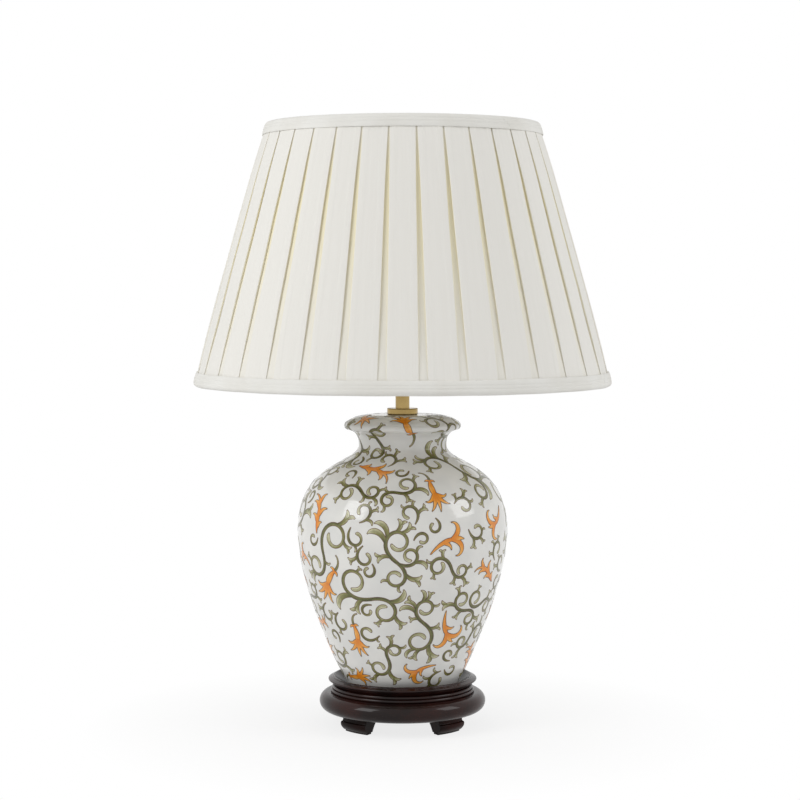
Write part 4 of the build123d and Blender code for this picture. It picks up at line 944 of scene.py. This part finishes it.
class LAMP_OT_pleats(Operator):
    """Fold the pleated cover and its two trims"""
    bl_idname = "lamp.pleats"
    bl_label = "Pleated cover"

    def execute(self, context):
        sizes = context.scene.lamp_shade
        wall = Wall(sizes)
        cloth = cloth_finish(sizes)
        points, faces, fold_shades, flats = one_pleat(sizes, wall, 40)
        cover = piece_of("pleated_cover", points, faces, cloth, "shade")
        # Painted shade share, which mixes the tan recess colour into the cloth deep between pleats
        note(cover.data, "fold", fold_shades)
        flat = cover.data.uv_layers.new(name="OFBake")
        flat.data.foreach_set("uv", [c for loop in cover.data.loops for c in flats[loop.vertex_index]])
        tree = pleat_tree()
        modifier = cover.modifiers.new("Pleats", "NODES")
        modifier.node_group = tree
        values = {"Count": sizes.pleats, "Unevenness": sizes.unevenness, "Cloth": cloth}
        for item in tree.interface.items_tree:
            if item.in_out == "INPUT" and item.name in values:
                modifier[item.identifier] = values[item.name]
        context.view_layer.update()
        whole = bpy.data.meshes.new_from_object(cover.evaluated_get(context.evaluated_depsgraph_get()))
        cover.modifiers.remove(modifier)
        cover.data = whole
        self.spread(whole, sizes.pleats)
        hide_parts("shade_pleats")
        trims = [self.trim(sizes, wall, top) for top in (False, True)]
        return {"FINISHED"}

    def spread(self, mesh, count):
        """Lay the pleats' flat places side by side."""
        flat = mesh.uv_layers["OFBake"].data
        pitch = math.tau / count
        for face in mesh.polygons:
            angle = math.atan2(face.center.y, face.center.x) + math.pi / 2
            number = round(angle / pitch) % count
            for index in face.loop_indices:
                flat[index].uv.x = (flat[index].uv.x + number) / count

    def trim(self, sizes, wall, top):
        """A folded tape round one edge: a soft roll with a stitched fold and a slanted join."""
        join = math.radians(-45.0 if top else -20.3)
        edge = wall.slant if top else 0.0
        way = -1 if top else 1
        tall = sizes.trim_height
        outline = []
        for up, out in TRIM_OUTLINE:
            outline.append((up * tall, out * MM))
        angles = [math.tau * k / 300 for k in range(300)]
        angles += [join % math.tau + (k - 20) * 0.0018 for k in range(41)]
        angles = sorted(set(angles))
        points, faces = [], []
        for angle in angles:
            for up, out in outline:
                slant = join + (up - tall / 2) / edge_radius(wall, edge, way, up) * 1.1
                past = (angle - slant + math.pi) % math.tau - math.pi
                lap = LAP_THICKNESS * min(max(past / LAP_RISE, 0.0), 1.0) * max(1 - past / LAP_FADE, 0.0)
                lap *= out > 1.5 * MM
                wander = 0.00022 * math.sin(7 * angle + 90 * up) + 0.00016 * math.sin(23 * angle - 140 * up)
                radius, height = wall.at(edge + way * (up + 0.3 * wander), out + lap + wander)
                points.append((radius * math.cos(angle), radius * math.sin(angle), height))
        count = len(outline)
        for k in range(len(angles)):
            here = k * count
            there = (k + 1) % len(angles) * count
            for i in range(count):
                j = (i + 1) % count
                faces.append((here + i, there + i, there + j, here + j))
        name = "top_trim" if top else "bottom_trim"
        trim = piece_of(name, points, faces, trim_finish(sizes, name), "shade")
        outward(trim, 75)
        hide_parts("shade_" + name)
        return trim


def edge_radius(wall, edge, way, up):
    """Radius of the wall at a way up from one edge."""
    return wall.at(edge + way * up, 0.0)[0]


def trim_finish(sizes, name):
    """Folded cotton tape, pressed and glued: matt white with a fine twill and slight shading."""
    material, tree, shader = finish_of("Cotton tape " + name.split("_")[0], {
        "Roughness": 0.8, "Sheen Weight": 0.15, "Sheen Roughness": 0.5, "Specular IOR Level": 0.25})
    place = add(tree, "ShaderNodeTexCoord").outputs["Object"]
    # Twill drawn at 1.6 mm, three times the real one; the tape's tone drifts over about 40 mm
    twill = add(tree, "ShaderNodeTexWave", {"Vector": place, "Scale": 62.0, "Distortion": 1.5, "Detail": 2.0,
                                            "Detail Scale": 6.0}, bands_direction="DIAGONAL").outputs["Fac"]
    drift = add(tree, "ShaderNodeTexNoise", {"Vector": place, "Scale": 25.0, "Detail": 4.0}).outputs["Fac"]
    share = add(tree, "ShaderNodeMapRange", {0: drift, 1: 0.35, 2: 0.7, 3: 0.0, 4: 0.45}).outputs[0]
    tint = add(tree, "ShaderNodeMix", {0: share, 6: rgba(sizes.trim), 7: rgba(linear("e4e1d8"))},
               data_type="RGBA").outputs[2]
    bump = add(tree, "ShaderNodeBump", {"Height": twill, "Strength": 0.12, "Distance": 0.0002}).outputs[0]
    feed(tree, shader, {"Base Color": tint, "Normal": bump})
    return material


def wood_finish(looks, name, coat):
    """Hardwood, stained almost black and lacquered: a clear gloss over dark pores, with red showing
    where the stain is thin. Turned wood is polished, and carved wood keeps less of the gloss."""
    material, tree, shader = finish_of("Lacquered hardwood " + name, {
        "Specular IOR Level": 0.06, "Coat Weight": coat, "Coat Roughness": 0.07, "IOR": 1.5})
    place = add(tree, "ShaderNodeTexCoord").outputs["Object"]
    # Grain runs left to right: pores 1 mm apart and 20 mm long, stain that thins over 45 mm
    along = add(tree, "ShaderNodeMapping", {"Vector": place, "Scale": (50.0, 900.0, 900.0)}).outputs[0]
    pores = add(tree, "ShaderNodeTexNoise", {"Vector": along, "Scale": 1.0, "Detail": 4.0}).outputs["Fac"]
    stain = add(tree, "ShaderNodeTexNoise", {"Vector": place, "Scale": 22.0, "Detail": 3.0}).outputs["Fac"]
    thin = add(tree, "ShaderNodeMapRange", {0: stain, 1: 0.42, 2: 0.68}).outputs[0]
    grain = add(tree, "ShaderNodeMapRange", {0: pores, 1: 0.3, 2: 0.7, 3: 0.35, 4: 1.0}).outputs[0]
    share = add(tree, "ShaderNodeMath", {0: thin, 1: grain}, operation="MULTIPLY").outputs[0]
    tint = add(tree, "ShaderNodeMix", {0: share, 6: rgba(looks.wood_dark), 7: rgba(looks.wood_red)},
               data_type="RGBA").outputs[2]
    gloss = add(tree, "ShaderNodeMapRange", {0: pores, 1: 0.3, 2: 0.7, 3: 0.3, 4: 0.36}).outputs[0]
    bump = add(tree, "ShaderNodeBump", {"Height": pores, "Strength": 0.02, "Distance": 0.0002}).outputs[0]
    feed(tree, shader, {"Base Color": tint, "Roughness": gloss, "Normal": bump})
    return material


def mottled_finish(name, main, other, size, sockets, rough, bump_depth=0.0):
    """A finish that drifts between two tones and two roughnesses over a size in metres."""
    material, tree, shader = finish_of(name, sockets)
    place = add(tree, "ShaderNodeTexCoord").outputs["Object"]
    drift = add(tree, "ShaderNodeTexNoise",
                {"Vector": place, "Scale": 1 / size, "Detail": 4.0}).outputs["Fac"]
    share = add(tree, "ShaderNodeMapRange", {0: drift, 1: 0.35, 2: 0.68}).outputs[0]
    tint = add(tree, "ShaderNodeMix", {0: share, 6: rgba(main), 7: rgba(other)}, data_type="RGBA").outputs[2]
    gloss = add(tree, "ShaderNodeMapRange", {0: drift, 1: 0.3, 2: 0.7, 3: rough[0], 4: rough[1]}).outputs[0]
    feed(tree, shader, {"Base Color": tint, "Roughness": gloss})
    if bump_depth:
        bump = add(tree, "ShaderNodeBump",
                   {"Height": drift, "Strength": 0.5, "Distance": bump_depth}).outputs[0]
        tree.links.new(bump, shader.inputs["Normal"])
    return material


def soft_edge(low, high, bottom, top, curve):
    """Outline of a flat ring with rounded edges, from radius low to radius high."""
    middle = (bottom + top) / 2
    half = (top - bottom) / 2
    points = []
    for k in range(7):
        angle = -math.pi / 2 + math.pi * k / 6
        points.append((high - curve + curve * math.cos(angle), middle + half * math.sin(angle)))
    for k in range(7):
        angle = math.pi / 2 + math.pi * k / 6
        points.append((low + curve + curve * math.cos(angle), middle + half * math.sin(angle)))
    return points


class LAMP_OT_stand(Operator):
    """Finish the wooden stand and lay its felts"""
    bl_idname = "lamp.stand"
    bl_label = "Stand"

    def execute(self, context):
        looks = context.scene.lamp_stand
        wooden = nodes_of("stand_wood")
        feet = [name for name in wooden if name.startswith("foot_")]
        paint(wooden, wood_finish(looks, "turned", 0.36))
        paint(feet, wood_finish(looks, "carved", 0.03))
        # Moulded rubber: matt black, a little dusty
        rubber = mottled_finish("Moulded rubber", linear("1b1b1b"), linear("2a2928"), 0.006, {}, (0.6, 0.8))
        paint(nodes_of("grommet_rubber"), rubber)
        # Pressed wool felt: no gloss, fibres drawn at 1 mm
        felt = mottled_finish("Pressed wool felt", looks.felt, linear("3d3634"), 0.001,
                              {"Sheen Weight": 0.4, "Specular IOR Level": 0.1}, (0.9, 1.0), 0.0004)
        corners = {"rear_right": 45, "rear_left": 135, "front_left": 225, "front_right": 315}
        for corner, angle in corners.items():
            self.pad(looks, corner, math.radians(angle), felt)
        low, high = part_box("jar_seat_felt")
        points, faces = turned(soft_edge(0.0505, high.x - 0.0001, low.z, high.z, 0.0007), 128)
        ring = piece_of("seat_felt", points, faces, felt, "base")
        outward(ring, 80)
        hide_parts("jar_seat_felt")
        return {"FINISHED"}

    def pad(self, looks, corner, angle, felt):
        """The felt under one foot, cut like its sole."""
        low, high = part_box("felt_pad_" + corner)
        outline = soft_edge(looks.pad_inner, looks.pad_outer, low.z, high.z, 0.0006)
        points, faces = turned(outline, 16, angle - looks.pad_sweep / 2, looks.pad_sweep)
        pad = piece_of("felt_under_" + corner, points, faces, felt, "base")
        outward(pad, 60)
        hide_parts("felt_pad_" + corner)


class LAMP_OT_fittings(Operator):
    """Finish the brass, the rod and the shade carrier"""
    bl_idname = "lamp.fittings"
    bl_label = "Brass and steel"

    def execute(self, context):
        looks = context.scene.lamp_metal
        # Turned brass, antique finish: polished high places, faintly toned patches about 25 mm across
        brass = mottled_finish("Antique brass", looks.brass, looks.brass_dull, 0.025,
                               {"Metallic": 1.0}, (0.08, 0.16))
        paint(nodes_of("brass"), brass)
        # Zinc-plated steel: grey, bright, with a faint spangle
        steel = mottled_finish("Zinc-plated steel", looks.steel, linear("94989e"), 0.003, {"Metallic": 1.0},
                               (0.28, 0.42))
        paint(nodes_of("plated_steel"), steel)
        return {"FINISHED"}


class LAMP_OT_lampholder(Operator):
    """Finish the lampholder's mouldings"""
    bl_idname = "lamp.lampholder"
    bl_label = "Lampholder"

    def execute(self, context):
        # Phenolic moulding: black with a low gloss and a fine sparkle of filler
        black = mottled_finish("Black phenolic", linear("161616"), linear("222120"), 0.0015, {"IOR": 1.6},
                               (0.28, 0.4), 0.00004)
        paint(nodes_of("black_moulding"), black)
        # Urea moulding: warm white, half gloss
        white = mottled_finish("White urea", linear("e9e6dc"), linear("dfdacd"), 0.004,
                               {"IOR": 1.55}, (0.3, 0.42))
        paint(nodes_of("white_moulding"), white)
        return {"FINISHED"}


class LAMP_OT_bulb(Operator):
    """Finish the bulb"""
    bl_idname = "lamp.bulb"
    bl_label = "Bulb"

    def execute(self, context):
        looks = context.scene.lamp_metal
        # Drawn aluminium cap, nickel bright, scuffed by the socket
        cap = mottled_finish("Nickel-plated cap", looks.cap, linear("a29d92"), 0.002,
                             {"Metallic": 1.0}, (0.2, 0.38))
        paint(nodes_of("bulb_metal"), cap)
        # Blown soda glass: clear, slightly uneven where it was blown
        glass = mottled_finish("Blown glass", linear("ffffff"), linear("f6fbfa"), 0.03,
                               {"Transmission Weight": 1.0, "IOR": 1.5}, (0.0, 0.03))
        paint(nodes_of("bulb_glass"), glass)
        # Phosphor-coated filament strips: matt yellow with a grain
        strip = mottled_finish("Phosphor strip", linear("e7b23c"), linear("d99a24"), 0.001,
                               {}, (0.55, 0.7), 0.00005)
        paint(nodes_of("filament"), strip)
        return {"FINISHED"}


class LAMP_OT_shade_frame(Operator):
    """Finish the shade's wires and lining"""
    bl_idname = "lamp.shade_frame"
    bl_label = "Shade frame"

    def execute(self, context):
        # Powder-coated wire: white with a fine orange peel
        wire = mottled_finish("Powder-coated wire", linear("e8e7e2"), linear("dddbd3"), 0.002,
                              {}, (0.4, 0.52),
                              0.00006)
        paint(nodes_of("white_wire"), wire)
        # Laminated styrene lining: smooth white sheet with a soft satin and faint cloud
        lining = mottled_finish("Laminated lining", linear("f3f1ea"), linear("ebe7dc"), 0.02,
                                {"Specular IOR Level": 0.4}, (0.45, 0.58))
        paint(nodes_of("shade_lining"), lining)
        return {"FINISHED"}


class LAMP_OT_stage(Operator):
    """Set the camera, lights and floor"""
    bl_idname = "lamp.stage"
    bl_label = "Stage"

    def execute(self, context):
        looks = context.scene.lamp_stage
        scene = context.scene
        lens = bpy.data.cameras.new("camera")
        lens.sensor_width = 36
        lens.angle = looks.view_angle
        camera = bpy.data.objects.new("camera", lens)
        camera.location = looks.eye
        camera.rotation_euler = (math.pi / 2 - looks.pitch, 0.0, 0.0)
        scene.collection.objects.link(camera)
        scene.camera = camera
        scene.view_settings.view_transform = "Standard"
        for name, place, power in (
            ("key_softbox", (-1.9, -1.2, 1.6), looks.key),
            ("fill_softbox", (2.2, -0.6, 1.6), looks.fill),
        ):
            light = bpy.data.lights.new(name, "AREA")
            light.shape = "RECTANGLE"
            light.size = 1.2
            light.size_y = 1.5
            light.energy = power
            box = bpy.data.objects.new(name, light)
            box.location = place
            box.rotation_euler = (Vector((0, 0, 0.32)) - box.location).to_track_quat("-Z", "Y").to_euler()
            scene.collection.objects.link(box)
        self.world(scene, looks)
        self.floor(looks)
        return {"FINISHED"}

    def seen(self, tree):
        """One for rays from the eye, off a gloss or through a glass, else nought."""
        path = add(tree, "ShaderNodeLightPath").outputs
        mirrored = add(tree, "ShaderNodeMath", {0: path["Is Camera Ray"], 1: path["Is Glossy Ray"]},
                       operation="MAXIMUM").outputs[0]
        return add(tree, "ShaderNodeMath", {0: mirrored, 1: path["Is Transmission Ray"]},
                   operation="MAXIMUM").outputs[0]

    def world(self, scene, looks):
        """Even grey light, and white where it is looked at."""
        world = bpy.data.worlds.new("studio")
        world.use_nodes = True
        tree = world.node_tree
        even = tree.nodes["Background"]
        even.inputs["Color"].default_value = (1.0, 1.0, 1.0, 1.0)
        even.inputs["Strength"].default_value = looks.ambient
        white = add(tree, "ShaderNodeBackground", {"Color": (1.0, 1.0, 1.0, 1.0), "Strength": 1.0})
        mixed = add(tree, "ShaderNodeMixShader",
                    {0: self.seen(tree), 1: even.outputs[0], 2: white.outputs[0]})
        tree.links.new(mixed.outputs[0], tree.nodes["World Output"].inputs["Surface"])
        scene.world = world

    def floor(self, looks):
        """A wide pale floor that fades into the background and keeps the lamp's shadow."""
        material = bpy.data.materials.new("Pale studio floor")
        material.use_nodes = True
        tree = material.node_tree
        tree.nodes.remove(tree.nodes["Principled BSDF"])
        matt = add(tree, "ShaderNodeBsdfDiffuse", {"Color": rgba(looks.floor)}).outputs[0]
        white = add(tree, "ShaderNodeEmission", {"Color": (1.0, 1.0, 1.0, 1.0), "Strength": 1.0}).outputs[0]
        place = add(tree, "ShaderNodeTexCoord").outputs["Object"]
        away = add(tree, "ShaderNodeVectorMath", {0: place}, operation="LENGTH").outputs["Value"]
        fade = add(tree, "ShaderNodeMapRange", {0: away, 1: 0.1, 2: 0.36, 3: 0.8, 4: 1.0}).outputs[0]
        share = add(tree, "ShaderNodeMath", {0: self.seen(tree), 1: fade}, operation="MULTIPLY").outputs[0]
        mixed = add(tree, "ShaderNodeMixShader", {0: share, 1: matt, 2: white}).outputs[0]
        tree.links.new(mixed, tree.nodes["Material Output"].inputs["Surface"])
        mesh = bpy.data.meshes.new("floor")
        mesh.from_pydata([(-20, -20, 0), (20, -20, 0), (20, 20, 0), (-20, 20, 0)], [], [(0, 1, 2, 3)])
        mesh.materials.append(material)
        floor = bpy.data.objects.new("floor", mesh)
        bpy.context.scene.collection.objects.link(floor)


class LAMP_PT_parts(Panel):
    """The lamp's pieces in the order they are made"""
    bl_idname = "LAMP_PT_parts"
    bl_label = "Bedside lamp"
    bl_space_type = "VIEW_3D"
    bl_region_type = "UI"
    bl_category = "Lamp"

    def draw(self, context):
        for operator in OPERATORS:
            self.layout.operator(operator.bl_idname)


GROUPS = {
    "lamp_jar": JarSizes,
    "lamp_vines": VineLooks,
    "lamp_shade": ShadeSizes,
    "lamp_stand": StandLooks,
    "lamp_metal": MetalLooks,
    "lamp_stage": StageLooks,
}
OPERATORS = (LAMP_OT_stage, LAMP_OT_stand, LAMP_OT_jar, LAMP_OT_vines, LAMP_OT_fittings, LAMP_OT_lampholder,
             LAMP_OT_bulb, LAMP_OT_shade_frame, LAMP_OT_pleats)


def register():
    for name, group in GROUPS.items():
        bpy.utils.register_class(group)
        setattr(bpy.types.Scene, name, PointerProperty(type=group))
    for operator in OPERATORS:
        bpy.utils.register_class(operator)
    bpy.utils.register_class(LAMP_PT_parts)


def unregister():
    bpy.utils.unregister_class(LAMP_PT_parts)
    for operator in reversed(OPERATORS):
        bpy.utils.unregister_class(operator)
    for name, group in reversed(GROUPS.items()):
        delattr(bpy.types.Scene, name)
        bpy.utils.unregister_class(group)


def main():
    register()
    bpy.ops.lamp.stage()
    bpy.ops.lamp.stand()
    bpy.ops.lamp.jar()
    bpy.ops.lamp.vines()
    bpy.ops.lamp.fittings()
    bpy.ops.lamp.lampholder()
    bpy.ops.lamp.bulb()
    bpy.ops.lamp.shade_frame()
    bpy.ops.lamp.pleats()
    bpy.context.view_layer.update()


if __name__ == "__main__":
    main()
